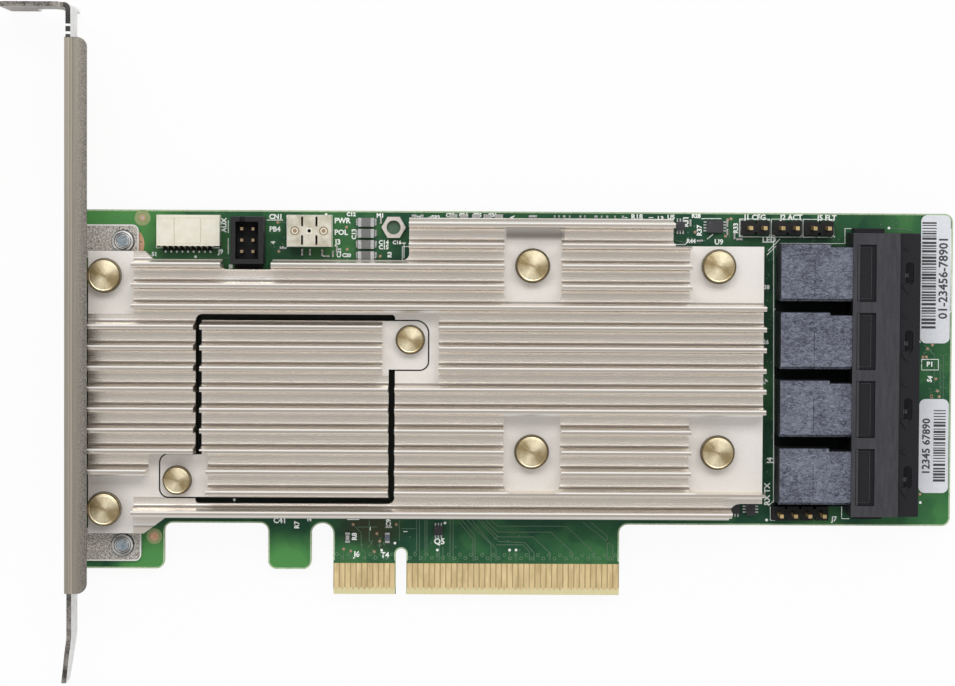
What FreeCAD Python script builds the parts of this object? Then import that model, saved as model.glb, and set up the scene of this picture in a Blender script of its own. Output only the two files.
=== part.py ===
"""Storage controller card: a plug-in circuit board with a full-height bracket,
two pin-mounted heatsinks and a row of four cable ports.

X runs along the card from the bracket's outer face, Y up from the board's lower
edge and Z out of the component face. Each piece is drawn there and its Placement
then moves it to the card's own origin, under the middle of its bounding box.
"""
import FreeCAD, Part
import math
import os

import Sketcher

SIZES = {
    # circuit board
    "board_inset": 1.95,          # bracket outer face to board edge
    "board_length": 155.4,
    "board_height": 56.05,
    "board_thickness": 1.57,
    "board_corner": 1.5,
    "foot_width": 14.48,          # lower corner that backs the bracket's lower ear
    "foot_drop": 8.27,
    "lug_left": 33.04,            # narrow lug beside the edge tongue, from the board's edge
    "lug_width": 7.78,
    "lug_slot": 3.9,
    "tongue_drop": 12.76,
    "tongue_corner": 1.0,
    "tongue_bevel": 1.25,
    "bevel_depth": 0.45,
    "key_width": 1.9,
    "key_height": 8.25,
    "contact_pitch": 1.0,
    "contact_width": 0.8,
    "contact_length": 4.7,
    "contact_lift": 0.05,         # plating above the laminate
    "contact_margin": 0.6,        # first contact's middle to the tongue's side
    "short_contacts": 11,
    "long_contacts": 38,
    "post_across": 3.75,          # across the flats
    "post_bore": 2.5,
    "post_height": 1.5,
    "post_x": 57.25,
    "post_drop": 2.92,
    # bracket
    "sheet": 0.86,
    "bracket_width": 18.42,
    "bracket_length": 120.02,
    "bracket_rise": 14.56,        # component face to the bracket's front edge
    "bracket_above": 36.22,       # board's top edge to the top tab
    "tab_length": 11.43,
    "tab_bend": 1.2,              # outer radius of the tab's fold
    "notch_width": 4.42,
    "notch_depth": 8.1,
    "notch_from_face": 1.6,
    "neck_length": 6.15,
    "neck_width": 13.4,
    "flange_reach": 3.9,
    "flange_bend": 2.0,
    "flange_corner": 1.75,
    "flange_length": 97.35,
    "tip_width": 10.19,
    "tip_end_width": 6.6,
    "tip_taper": 5.5,
    "tip_offset": 3.6,
    "tip_kick": 1.1,
    "ear_width": 5.9,
    "upper_ear_reach": 11.8,
    "lower_ear_reach": 12.3,
    "ear_window_gap": 0.25,
    "ear_corner": 1.2,
    "ear_bend": 0.8,
    "upper_ear_drop": 5.6,        # board's top edge to the upper ear's centre
    "lower_ear_drop": 3.9,        # board's lower edge down to the lower ear's centre
    "ear_screw_x": 9.0,
    "screw_head": 3.85,
    "screw_head_height": 0.95,
    "screw_recess": 2.5,
    "screw_thread": 2.0,
    "screw_clearance": 0.15,
    "screw_tail": 0.5,
    # main heatsink
    "sink_lift": 3.0,             # component face to the heatsink's underside
    "sink_base": 3.0,
    "sink_left": 3.3,
    "sink_to_ports": 2.62,
    "sink_top_gap": 1.15,         # to the board's top edge
    "sink_low_shoulder": 5.97,    # top edge down to the right shoulder
    "sink_high_shoulder": 8.7,    # top edge down to the long left shoulder
    "sink_left_gap": 7.3,
    "sink_bottom": 1.42,
    "sink_foot_drop": 2.8,
    "sink_foot_length": 9.9,
    "sink_foot_slope": 3.8,
    "sink_left_flat": 10.1,
    "sink_corner": 0.7,           # concave corners beside the shrouded header
    "raised_left": 60.1,
    "raised_right": 106.9,
    "sink_cut_width": 5.85,
    "sink_cut_height": 2.95,
    "sink_cut_corner": 2.0,
    "fin_pitch": 3.648,
    "fin_height": 6.5,
    "fin_root": 1.3,
    "fin_tip": 0.8,
    "fin_fillet": 0.5,
    "fin_edge": 0.15,
    "first_fin": 2.74,
    "pocket_width": 10.15,
    "pocket_height": 13.2,
    "milled_depth": 0.15,
    "pocket_corner": 1.25,
    "high_pocket_drop": 15.93,    # board's top edge down to the upper pockets
    "low_pocket_rise": 5.13,
    "pocket_lead": 5.0,           # pocket's left edge to its pin
    "flat_width": 8.08,
    "upper_flat_drop": 18.4,
    "lower_flat_rise": 5.7,       # lower left pin up to the edge of its flat
    "lower_flat_inset": 10.75,
    # small heatsink
    "window_left": 22.33,
    "window_bottom": 4.05,
    "window_gap": 1.12,
    "window_corner": 1.2,
    "tab_gap": 0.25,
    "small_length": 33.1,
    "small_width": 31.4,
    "small_tab_reach": 6.95,
    "small_tab_width": 8.6,
    "small_low_tab_width": 7.55,
    "small_low_tab_reach": 7.35,
    "small_tab_corner": 1.5,
    "high_tab_corner": 2.15,
    "small_fin_stop": 1.1,        # fins end short of the tabs
    "relief_margin": 1.9,
    "relief_drop": 2.4,
    "small_pin_inset": 3.12,
    "small_high_pin_drop": 3.2,
    "small_low_pin_rise": 3.12,
    # push pins
    "pin_head": 6.0,
    "pin_head_height": 1.3,
    "pin_bevel": 0.45,
    "pin_shank": 2.9,
    "pin_running": 0.12,          # shank clearance in the plates
    "pin_barb": 3.8,
    "pin_barb_length": 1.6,
    "pin_barb_lip": 0.55,
    "pin_point": 2.3,
    "small_pin_head": 5.0,
    "spring_height": 1.75,
    "spring_wire": 0.45,
    "spring_turns": 2.25,
    "spring_runs": 8,             # straight runs in one turn
    "spring_seat": 0.12,          # play above and below the coil
    "spring_play": 0.32,
    "left_pin_x": 6.32,
    "left_pin_high": 11.6,
    "left_pin_low": 3.12,
    "right_pin_inset": 8.15,
    "middle_pin_offset": 21.85,   # from the raised part's left side
    "high_pin_drop": 9.5,
    "low_pin_rise": 12.18,
    # chips
    "substrate": 1.1,
    "lid": 1.45,
    "lid_margin": 2.2,
    "controller_side": 27.0,
    "expander_side": 25.0,
    "paste_margin": 2.0,
    "memory_length": 9.5,
    "memory_width": 9.0,
    "memory_height": 1.1,
    "memory_pitch": 11.3,
    "memory_setback": 5.5,        # small heatsink's tab to the row's middle
    "memory_rise": 4.0,
    # cable ports
    "port_pitch": 12.0,
    "port_setback": 7.14,         # board's right edge to the mouths
    "port_low": 9.6,
    "port_depth": 11.97,
    "port_height": 11.3,
    "port_end": 2.2,
    "mouth_width": 9.6,
    "mouth_height": 8.0,
    "mouth_lift": 1.6,
    "mouth_depth": 9.4,
    "nose_setback": 4.7,
    "nose_width": 7.6,
    "nose_height": 5.6,
    "nose_wall": 0.7,
    "slot_height": 1.3,
    "slot_pitch": 2.8,
    "port_step": 3.69,
    "port_step_drop": 0.9,
    "port_window_width": 2.9,
    "port_window_length": 10.1,
    "port_window_depth": 0.6,
    "port_window_inset": 1.2,
    "latch_width": 1.45,
    "latch_length": 4.0,
    "latch_inset": 1.2,
    "port_nub_inset": 0.9,
    "port_nub_reach": 0.8,
    "port_nub_length": 5.2,
    "port_nub_height": 6.0,
    "block_length": 12.58,
    "block_width": 10.0,
    "block_height": 10.8,
    "block_shelf": 0.9,
    "block_shelf_drop": 0.15,
    "block_rim": 0.5,
    "block_rim_drop": 1.6,
    "block_neck_length": 3.9,
    "block_neck_step": 0.5,
    # fittings along the top edge
    "power_left": 15.24,
    "power_length": 11.19,
    "power_depth": 5.47,
    "power_height": 4.5,
    "power_drop": 0.88,
    "power_wall": 0.95,
    "power_rear_wall": 1.4,
    "power_groove": 0.3,
    "power_groove_depth": 0.12,
    "lead_pitch": 1.0,
    "lead_offset": 0.3,
    "lead_width": 0.35,
    "lead_length": 0.95,
    "lead_height": 0.3,
    "shroud_left": 28.62,
    "shroud_length": 5.75,
    "shroud_depth": 8.3,
    "shroud_height": 8.5,
    "shroud_drop": 1.1,
    "shroud_wall": 0.85,
    "shroud_well": 6.3,
    "shroud_key": 1.0,
    "shroud_key_inset": 1.6,
    "shroud_clear_side": 1.55,
    "shroud_clear_end": 1.05,
    "shroud_pitch": 2.0,
    "shroud_ledge": 0.95,
    "shroud_ledge_height": 2.4,
    "shroud_pin": 0.5,
    "shroud_pin_drop": 1.6,
    "key_left": 38.43,
    "key_length": 7.85,
    "key_depth": 5.5,
    "key_socket_height": 5.0,
    "key_drop": 0.82,
    "key_slot": 0.38,
    "key_slot_length": 1.7,
    "key_rim": 0.25,
    "key_well": 1.1,
    "key_pin_drop": 1.5,
    "header_pitch": 2.54,
    "header_height": 2.54,
    "header_width": 2.5,
    "header_notch": 0.45,
    "header_drop": 2.65,
    "pin_square": 0.64,
    "pin_above": 5.6,
    "pin_below": 1.3,
    "pin_fit": 0.02,
    "pin_slot": 0.8,
    "first_jumper_x": 121.78,
    "jumper_spacing": 5.69,
    "service_left": 126.38,
    "service_y": 2.35,
    "cap_left": 50.9,
    "cap_length": 2.87,
    "cap_width": 1.55,
    "cap_height": 1.5,
    "cap_pitch": 1.98,
    "cap_end": 0.6,
    "cap_drop": 2.03,
    "low_chip_left": 48.8,
    "low_chip_spacing": 7.13,
    "low_chip_drop": 3.45,
    "low_chip_width": 0.85,
    "low_chip_length": 1.85,
    "low_chip_height": 0.6,
    "low_chip_end": 0.35,
    "chip_height": 1.0,
    "chip_lift": 0.1,
    "foot_reach": 0.6,
    "foot_breadth": 0.25,
    "foot_thickness": 0.2,
    "foot_pitch": 0.52,
    "bus_chip_x": 114.7,
    "bus_chip_length": 2.9,
    "bus_chip_width": 2.2,
    "gate_chip_x": 108.5,
    "gate_chip_side": 1.55,
    "top_chip_drop": 2.45,
    "low_gate_x": 65.5,
    "low_gate_drop": 1.2,
    "label_thickness": 0.12,
    "label_corner": 1.1,
    "label_margin": 0.4,
    "label_width": 5.3,
    "label_top_gap": 0.25,
    "top_label_length": 22.95,
    "low_label_rise": 5.95,
    "low_label_length": 16.9,
}


class Length:
    """A size beside the spreadsheet expression that gives it."""

    def __init__(self, value, text):
        self.value = value
        self.text = text

    def __add__(self, other):
        other = as_length(other)
        return Length(self.value + other.value, "(%s + %s)" % (self.text, other.text))

    def __sub__(self, other):
        other = as_length(other)
        return Length(self.value - other.value, "(%s - %s)" % (self.text, other.text))

    def __mul__(self, other):
        other = as_length(other)
        return Length(self.value * other.value, "%s * %s" % (self.text, other.text))

    def __truediv__(self, other):
        other = as_length(other)
        return Length(self.value / other.value, "%s / %s" % (self.text, other.text))

    def __radd__(self, other):
        return as_length(other) + self

    def __rsub__(self, other):
        return as_length(other) - self

    def __rmul__(self, other):
        return as_length(other) * self

    def __neg__(self):
        return Length(-self.value, "(-%s)" % self.text)


def as_length(number):
    if isinstance(number, Length):
        return number
    return Length(float(number), "(%.6g)" % number)


doc = FreeCAD.newDocument("storage_controller_card")
sheet = doc.addObject("Spreadsheet::Sheet", "Size")


class Sizes:
    """The named sizes, each tied to its cell."""


s = Sizes()
for row, (name, number) in enumerate(SIZES.items(), start=1):
    sheet.set("A%d" % row, name)
    sheet.set("B%d" % row, str(number))
    sheet.setAlias("B%d" % row, name)
    setattr(s, name, Length(number, "Size.%s" % name))
doc.recompute()

nodes = []


def bind(thing, path, size):
    thing.setExpression(path, as_length(size).text)


def settle(thing, label):
    """Names a finished piece and moves it to the card's own origin."""
    thing.Label = label
    bind(thing, "Placement.Base.x", -origin_x)
    bind(thing, "Placement.Base.y", -origin_y)
    bind(thing, "Placement.Base.z", -origin_z)
    nodes.append(thing)
    return thing


# ---- sketches ----

def new_body(name):
    body = doc.addObject("PartDesign::Body", "Body_" + name)
    body.AllowCompound = True
    return body


def new_sketch(body, plane, lift=0.0):
    sketch = body.newObject("Sketcher::SketchObject", "Sketch")
    support = [item for item in body.Origin.OriginFeatures if item.Role == plane][0]
    sketch.AttachmentSupport = (support, [""])
    sketch.MapMode = "FlatFace"
    bind(sketch, "AttachmentOffset.Base.z", lift)
    return sketch


def place_point(sketch, geometry, end, x, y):
    """Ties one end of a line to its two sizes."""
    for kind, size in (("DistanceX", x), ("DistanceY", y)):
        size = as_length(size)
        index = sketch.addConstraint(
            Sketcher.Constraint(kind, -1, 1, geometry, end, size.value))
        sketch.setExpression("Constraints[%d]" % index, size.text)


def toward(start, end):
    """The unit step from one corner to the next along an edge."""
    run = end[0].value - start[0].value
    rise = end[1].value - start[1].value
    span = math.hypot(run, rise)
    return run / span, rise / span


def outline(sketch, points):
    """A closed outline; a corner with a third value, on square edges, is rounded."""
    corners = [(as_length(p[0]), as_length(p[1]), as_length(p[2]) if len(p) > 2 else None)
               for p in points]
    ends = []
    for index, corner in enumerate(corners):
        before = toward(corner, corners[index - 1])
        after = toward(corner, corners[(index + 1) % len(corners)])
        x, y, radius = corner
        if radius is None:
            ends.append(((x, y), (x, y), None))
            continue
        first = (x + radius * round(before[0]), y + radius * round(before[1]))
        last = (x + radius * round(after[0]), y + radius * round(after[1]))
        middle = (x.value + radius.value * (round(before[0]) + round(after[0])),
                  y.value + radius.value * (round(before[1]) + round(after[1])))
        turn = before[1] * after[0] - before[0] * after[1]
        ends.append((first, last, (middle, radius, turn > 0)))
    lines = []
    for index, (arrive, leave, bend) in enumerate(ends):
        following = ends[(index + 1) % len(ends)][0]
        start = FreeCAD.Vector(leave[0].value, leave[1].value, 0)
        stop = FreeCAD.Vector(following[0].value, following[1].value, 0)
        lines.append(sketch.addGeometry(Part.LineSegment(start, stop), False))
    for index, (arrive, leave, bend) in enumerate(ends):
        line_in, line_out = lines[index - 1], lines[index]
        place_point(sketch, line_out, 1, leave[0], leave[1])
        if bend is None:
            sketch.addConstraint(Sketcher.Constraint("Coincident", line_in, 2, line_out, 1))
            continue
        place_point(sketch, line_in, 2, arrive[0], arrive[1])
        middle, radius, left_turn = bend
        centre = FreeCAD.Vector(middle[0], middle[1], 0)
        first, last = (arrive, leave) if left_turn else (leave, arrive)
        angles = [math.atan2(p[1].value - middle[1], p[0].value - middle[0])
                  for p in (first, last)]
        circle = Part.Circle(centre, FreeCAD.Vector(0, 0, 1), radius.value)
        arc = sketch.addGeometry(Part.ArcOfCircle(circle, angles[0], angles[1]), False)
        start_pos, end_pos = (1, 2) if left_turn else (2, 1)
        sketch.addConstraint(Sketcher.Constraint("Coincident", line_in, 2, arc, start_pos))
        sketch.addConstraint(Sketcher.Constraint("Coincident", line_out, 1, arc, end_pos))
        radius_index = sketch.addConstraint(Sketcher.Constraint("Radius", arc, radius.value))
        sketch.setExpression("Constraints[%d]" % radius_index, radius.text)


def ring(sketch, x, y, diameter):
    """A circle at a place, by its diameter."""
    x, y, diameter = as_length(x), as_length(y), as_length(diameter)
    centre = FreeCAD.Vector(x.value, y.value, 0)
    circle = sketch.addGeometry(
        Part.Circle(centre, FreeCAD.Vector(0, 0, 1), diameter.value / 2), False)
    place_point(sketch, circle, 3, x, y)
    index = sketch.addConstraint(Sketcher.Constraint("Diameter", circle, diameter.value))
    sketch.setExpression("Constraints[%d]" % index, diameter.text)


def many_sided(x, y, across, sides=12):
    """The corners of a regular outline with its flats a set distance apart."""
    x, y, across = as_length(x), as_length(y), as_length(across)
    reach = 0.5 / math.cos(math.pi / sides)
    turns = [2 * math.pi * step / sides for step in range(sides)]
    return [(x + across * (reach * math.cos(turn)), y + across * (reach * math.sin(turn)))
            for turn in turns]


def box_points(left, bottom, right, top, radius=None):
    if radius is None:
        return [(left, bottom), (right, bottom), (right, top), (left, top)]
    return [(left, bottom, radius), (right, bottom, radius),
            (right, top, radius), (left, top, radius)]


def face(body, plane, lift, loops, circles=()):
    """A sketch of several outlines and circles on one plane."""
    sketch = new_sketch(body, plane, lift)
    for loop in loops:
        outline(sketch, loop)
    for x, y, diameter in circles:
        ring(sketch, x, y, diameter)
    return sketch


# ---- features ----

def pad(body, sketch, length, reverse=False):
    feature = body.newObject("PartDesign::Pad", "Pad")
    feature.Profile = sketch
    feature.Reversed = reverse
    bind(feature, "Length", length)
    doc.recompute()
    return feature


def pocket(body, sketch, depth, reverse=False):
    """Cuts down from the sketch, or up from it when reversed, and proves it cut."""
    before = body.Shape.Volume
    feature = body.newObject("PartDesign::Pocket", "Pocket")
    feature.Profile = sketch
    feature.Reversed = reverse
    bind(feature, "Length", depth)
    doc.recompute()
    if not body.Shape.Volume < before:
        raise RuntimeError("a pocket in %s cuts nothing" % body.Name)
    return feature


def repeat(body, feature, axis, pitch, count, axis2=None, pitch2=None, count2=None):
    pattern = body.newObject("PartDesign::LinearPattern", "LinearPattern")
    pattern.Originals = [feature]
    axes = {item.Role: item for item in body.Origin.OriginFeatures}
    pattern.Direction = (axes[axis], [""])
    pattern.Mode = "Spacing"
    bind(pattern, "Offset", pitch)
    bind(pattern, "Occurrences", count)
    if axis2 is not None:
        pattern.Direction2 = (axes[axis2], [""])
        pattern.Mode2 = "Spacing"
        bind(pattern, "Offset2", pitch2)
        bind(pattern, "Occurrences2", count2)
    body.Tip = pattern
    doc.recompute()
    return pattern


def turned(body, sketch):
    """A full turn of the sketch about its own vertical axis."""
    feature = body.newObject("PartDesign::Revolution", "Revolution")
    feature.Profile = sketch
    feature.ReferenceAxis = (sketch, ["V_Axis"])
    feature.Angle = 360
    doc.recompute()
    return feature


def block(x, y, z, length, width, height):
    """A plain box from its low corner."""
    box = doc.addObject("Part::Box", "Block")
    for path, size in (("Length", length), ("Width", width), ("Height", height),
                       ("Placement.Base.x", x), ("Placement.Base.y", y),
                       ("Placement.Base.z", z)):
        bind(box, path, size)
    return box


def rod(x, y, z, diameter, height):
    """An upright cylinder from the centre of its foot."""
    cylinder = doc.addObject("Part::Cylinder", "Rod")
    for path, size in (("Radius", as_length(diameter) / 2), ("Height", height),
                       ("Placement.Base.x", x), ("Placement.Base.y", y),
                       ("Placement.Base.z", z)):
        bind(cylinder, path, size)
    return cylinder


def joined(pieces):
    fusion = doc.addObject("Part::MultiFuse", "Fusion")
    fusion.Shapes = pieces
    fusion.Refine = True
    return fusion


def cut_from(base, tool):
    difference = doc.addObject("Part::Cut", "Cut")
    difference.Base = base
    difference.Tool = tool
    return difference


def group(pieces):
    """Separate solids that share one node."""
    compound = doc.addObject("Part::Compound", "Group")
    compound.Links = pieces
    return compound


# ---- places that several pieces share ----

board_left = s.board_inset
board_right = s.board_inset + s.board_length
board_top = s.board_height
board_back = -s.board_thickness
foot_right = board_left + s.foot_width
lug_left = board_left + s.lug_left
lug_right = lug_left + s.lug_width
tongue_left = lug_right + s.lug_slot
key_left = (tongue_left + 2 * s.contact_margin
            + (s.short_contacts - 1) * s.contact_pitch)
key_right = key_left + s.key_width
tongue_right = (key_right + 2 * s.contact_margin
                + (s.long_contacts - 1) * s.contact_pitch)
bracket_top = board_top + s.bracket_above
bracket_back = s.bracket_rise - s.bracket_width
origin_x = (board_right - s.tab_length) / 2
origin_y = bracket_top - s.bracket_length / 2
origin_z = bracket_back

upper_ear_y = board_top - s.upper_ear_drop
lower_ear_y = -s.lower_ear_drop
ears = [(upper_ear_y, s.upper_ear_reach), (lower_ear_y, s.lower_ear_reach)]
ear_screws = [(s.ear_screw_x, upper_ear_y), (s.ear_screw_x, lower_ear_y)]
screw_hole = s.screw_thread + 2 * s.screw_clearance

port_face = board_right - s.port_setback
port_rear = port_face - s.port_depth
block_left = port_rear - s.block_length
port_centres = [s.port_low + s.port_pitch * step for step in range(4)]

sink_right = block_left - s.sink_to_ports
sink_floor = s.sink_lift + s.sink_base
fin_top = sink_floor + s.fin_height
milled_floor = sink_floor - s.milled_depth
shroud_right = s.shroud_left + s.shroud_length
shroud_bottom = board_top - s.shroud_drop - s.shroud_depth
sink_top = board_top - s.sink_top_gap
sink_right_top = board_top - s.sink_low_shoulder
sink_left_top = board_top - s.sink_high_shoulder

cut_left = sink_right - s.sink_cut_width
right_pin_x = sink_right - s.right_pin_inset
middle_pin_x = s.raised_left + s.middle_pin_offset
high_pin_y = board_top - s.high_pin_drop
low_pin_y = s.sink_bottom + s.low_pin_rise
main_pins = [(s.left_pin_x, board_top - s.left_pin_high), (s.left_pin_x, s.left_pin_low),
             (middle_pin_x, high_pin_y), (right_pin_x, high_pin_y),
             (middle_pin_x, low_pin_y), (right_pin_x, low_pin_y)]

small_left = s.window_left + s.window_gap
small_bottom = s.window_bottom + s.window_gap
small_right = small_left + s.small_length
small_top = small_bottom + s.small_width
window_right = small_right + s.window_gap
window_top = small_top + s.window_gap
high_tab_right = small_right + s.small_tab_reach
low_tab_left = small_left - s.small_low_tab_reach
small_pins = [(high_tab_right - s.small_pin_inset, small_top - s.small_high_pin_drop),
              (low_tab_left + s.small_pin_inset, small_bottom + s.small_low_pin_rise)]
pin_hole = s.pin_shank + 2 * s.pin_running

jumpers = [(s.first_jumper_x + s.jumper_spacing * step, board_top - s.header_drop)
           for step in range(3)]
jumper_pins = [(x + s.header_pitch * side, y) for x, y in jumpers for side in (-0.5, 0.5)]
service_pins = [(s.service_left + s.header_pitch * step, s.service_y) for step in range(4)]
key_pins = [(s.key_left + s.key_length / 2 + s.header_pitch * step,
             board_top - s.key_drop - s.key_depth / 2) for step in (-1, 0, 1)]


# ---- circuit board ----

def make_board():
    body = new_body("board")
    corner, inner = s.board_corner, s.board_corner
    slot_bend = s.lug_slot * 0.49
    face_outline = [
        (board_left, -s.foot_drop), (foot_right, -s.foot_drop, corner),
        (foot_right, 0, inner), (lug_left, 0, inner),
        (lug_left, -s.foot_drop, corner), (lug_right, -s.foot_drop, corner),
        (lug_right, 0, slot_bend), (tongue_left, 0, slot_bend),
        (tongue_left, -s.tongue_drop, s.tongue_corner),
        (tongue_right, -s.tongue_drop, s.tongue_corner),
        (tongue_right, 0, inner), (board_right, 0, corner),
        (board_right, board_top, corner), (board_left, board_top)]
    pad(body, face(body, "XY_Plane", 0, [face_outline]), s.board_thickness, reverse=True)
    key_top = -s.tongue_drop + s.key_height
    slot = box_points(key_left, -s.tongue_drop - 1, key_right, key_top - s.key_width / 2)
    half = s.pin_slot / 2
    pin_slots = [box_points(x - half, y - half, x + half, y + half)
                 for x, y in jumper_pins + service_pins + key_pins]
    pocket(body, face(body, "XY_Plane", 0, [slot] + pin_slots), s.board_thickness)
    for x, y in main_pins + small_pins:
        pocket(body, face(body, "XY_Plane", 0, [many_sided(x, y, pin_hole)]),
               s.board_thickness)
    key_middle = (key_left + key_right) / 2
    holes = [(key_middle, key_top - s.key_width / 2, s.key_width)]
    holes += [(x, y, screw_hole) for x, y in ear_screws]
    pocket(body, face(body, "XY_Plane", 0, [], holes), s.board_thickness)
    low, reach = -s.tongue_drop, -s.tongue_drop + s.tongue_bevel
    bevels = [[(low, 0), (reach, 0), (low, -s.bevel_depth)],
              [(low, board_back), (low, board_back + s.bevel_depth), (reach, board_back)]]
    sketch = face(body, "YZ_Plane", tongue_left, bevels)
    pocket(body, sketch, tongue_right - tongue_left, reverse=True)
    settle(body, "circuit_board")


def make_board_post():
    """A six-sided post, open at its top, soldered near the board's upper edge."""
    body = new_body("post")
    x, y = s.post_x, board_top - s.post_drop
    sketch = face(body, "XY_Plane", 0, [many_sided(x, y, s.post_across, 6)],
                  [(x, y, s.post_bore)])
    pad(body, sketch, s.post_height)
    settle(body, "board_post")


def make_contacts(label, bottom):
    """The plated fingers of one side, eleven before the key and the rest after it."""
    body = new_body(label)
    low = -s.tongue_drop + s.tongue_bevel + s.contact_lift
    for start, count in ((tongue_left, s.short_contacts), (key_right, s.long_contacts)):
        left = start + s.contact_margin - s.contact_width / 2
        strip = box_points(left, low, left + s.contact_width, low + s.contact_length)
        feature = pad(body, face(body, "XY_Plane", bottom, [strip]), s.contact_lift)
        repeat(body, feature, "X_Axis", s.contact_pitch, count)
    settle(body, label)


# ---- bracket ----

def make_bracket():
    """One folded sheet: plate, top tab, stiffening flange, two ears and the low tip."""
    body = new_body("bracket")
    plate_bottom = bracket_top - s.neck_length - s.flange_length
    flange_top = bracket_top - s.neck_length
    # plate and top tab, folded as one strip
    bend, inner = s.tab_bend, s.tab_bend - s.sheet
    strip = [(0, plate_bottom), (s.sheet, plate_bottom), (s.sheet, bracket_top, bend),
             (-s.tab_length, bracket_top), (-s.tab_length, bracket_top - s.sheet),
             (0, bracket_top - s.sheet, inner)]
    pad(body, face(body, "XY_Plane", bracket_back, [strip]), s.bracket_width)
    # the neck is cut back from the rear edge
    neck_cut = box_points(flange_top, bracket_back - 1, bracket_top - s.tab_bend,
                          s.bracket_rise - s.neck_width)
    pocket(body, face(body, "YZ_Plane", -1, [neck_cut]), s.sheet + 3, reverse=True)
    # flange along the front edge
    far = s.flange_reach
    rise = s.bracket_rise
    angle = [(0, rise - s.flange_bend - 1), (s.sheet, rise - s.flange_bend - 1),
             (s.sheet, rise - s.sheet, s.flange_bend - s.sheet), (far, rise - s.sheet),
             (far, rise), (0, rise, s.flange_bend)]
    strip_front = [(-1, rise - s.flange_bend), (s.flange_bend, rise - s.flange_bend),
                   (s.flange_bend, rise + 1), (-1, rise + 1)]
    pocket(body, face(body, "XZ_Plane", -flange_top, [strip_front]), s.flange_length,
           reverse=False)
    pad(body, face(body, "XZ_Plane", -flange_top, [angle]), s.flange_length)
    round_off(body, [(far, flange_top), (far, plate_bottom)], rise, s.flange_corner)
    # ears, each turned in from its own window in the plate
    gap = s.ear_window_gap
    for middle, reach in ears:
        low, high = middle - s.ear_width / 2, middle + s.ear_width / 2
        window = box_points(low - gap, -gap, high + gap, reach - s.sheet)
        pocket(body, face(body, "YZ_Plane", -1, [window]), s.sheet + 2, reverse=True)
        ear = [(0, -gap), (s.sheet, -gap), (s.sheet, 0), (reach, 0),
               (reach, s.sheet), (0, s.sheet, s.ear_bend)]
        pad(body, face(body, "XZ_Plane", -high, [ear]), s.ear_width)
        round_off(body, [(reach, low), (reach, high)], s.sheet, s.ear_corner)
    pocket(body, face(body, "XY_Plane", s.sheet, [], [(x, y, screw_hole) for x, y in ear_screws]),
           s.sheet)
    # screw notch, open at the tab's rear edge
    left = -s.notch_from_face - s.notch_width
    right = -s.notch_from_face
    deep = bracket_back + s.notch_depth - s.notch_width / 2
    notch = box_points(left, bracket_back - 1, right, deep)
    above = -(bracket_top + 1)
    pocket(body, face(body, "XZ_Plane", above, [notch]), s.sheet + 3, reverse=True)
    pocket(body, face(body, "XZ_Plane", above, [], [((left + right) / 2, deep, s.notch_width)]),
           s.sheet + 3, reverse=True)
    # low tip, narrower than the plate, tapered and kicked outwards
    tip_bottom = bracket_top - s.bracket_length
    tip_front = s.bracket_rise - s.tip_offset
    tip_rear = tip_front - s.tip_width
    knee = (plate_bottom + tip_bottom) / 2
    blade = [(0, plate_bottom), (0, knee), (-s.tip_kick, tip_bottom),
             (s.sheet - s.tip_kick, tip_bottom), (s.sheet, knee), (s.sheet, plate_bottom)]
    pad(body, face(body, "XY_Plane", tip_rear, [blade]), s.tip_width)
    side = (s.tip_width - s.tip_end_width) / 2
    trims = [[(tip_bottom, tip_front), (tip_bottom, tip_front - side),
              (tip_bottom + s.tip_taper, tip_front)],
             [(tip_bottom, tip_rear), (tip_bottom + s.tip_taper, tip_rear),
              (tip_bottom, tip_rear + side)]]
    pocket(body, face(body, "YZ_Plane", -3 * s.tip_kick, trims), s.sheet + 5 * s.tip_kick,
           reverse=True)
    settle(body, "bracket")


def round_off(body, places, level, radius):
    """Fillets the short upright edges that meet the given corners near a level."""
    base = body.Tip
    picked = []
    for index, edge in enumerate(base.Shape.Edges, start=1):
        ends = [vertex.Point for vertex in edge.Vertexes]
        if len(ends) < 2 or abs(ends[0].z - ends[1].z) < 0.1:
            continue
        if abs(max(ends[0].z, ends[1].z) - level.value) > 0.01:
            continue
        for x, y in places:
            x, y = as_length(x), as_length(y)
            if all(abs(p.x - x.value) < 0.01 and abs(p.y - y.value) < 0.01 for p in ends):
                picked.append("Edge%d" % index)
    if len(picked) != len(places):
        raise RuntimeError("%d of %d corners found in %s" % (len(picked), len(places), body.Name))
    fillet = body.newObject("PartDesign::Fillet", "Fillet")
    fillet.Base = (base, picked)
    bind(fillet, "Radius", radius)
    doc.recompute()
    return fillet


def make_bracket_screws():
    """Pan-head screws with a six-sided drive recess."""
    screws = []
    for x, y in ear_screws:
        head = rod(x, y, s.sheet, s.screw_head, s.screw_head_height)
        recess = doc.addObject("Part::Prism", "Recess")
        recess.Polygon = 6
        bind(recess, "Circumradius", s.screw_recess / 2)
        bind(recess, "Height", s.screw_head_height)
        bind(recess, "Placement.Base.x", x)
        bind(recess, "Placement.Base.y", y)
        bind(recess, "Placement.Base.z", s.sheet + s.screw_head_height / 2)
        shank = rod(x, y, board_back - s.screw_tail, s.screw_thread,
                    s.sheet - board_back + s.screw_tail + s.screw_head_height / 4)
        screws.append(cut_from(joined([head, shank]), recess))
    settle(group(screws), "bracket_screws")


# ---- heatsinks ----

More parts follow.
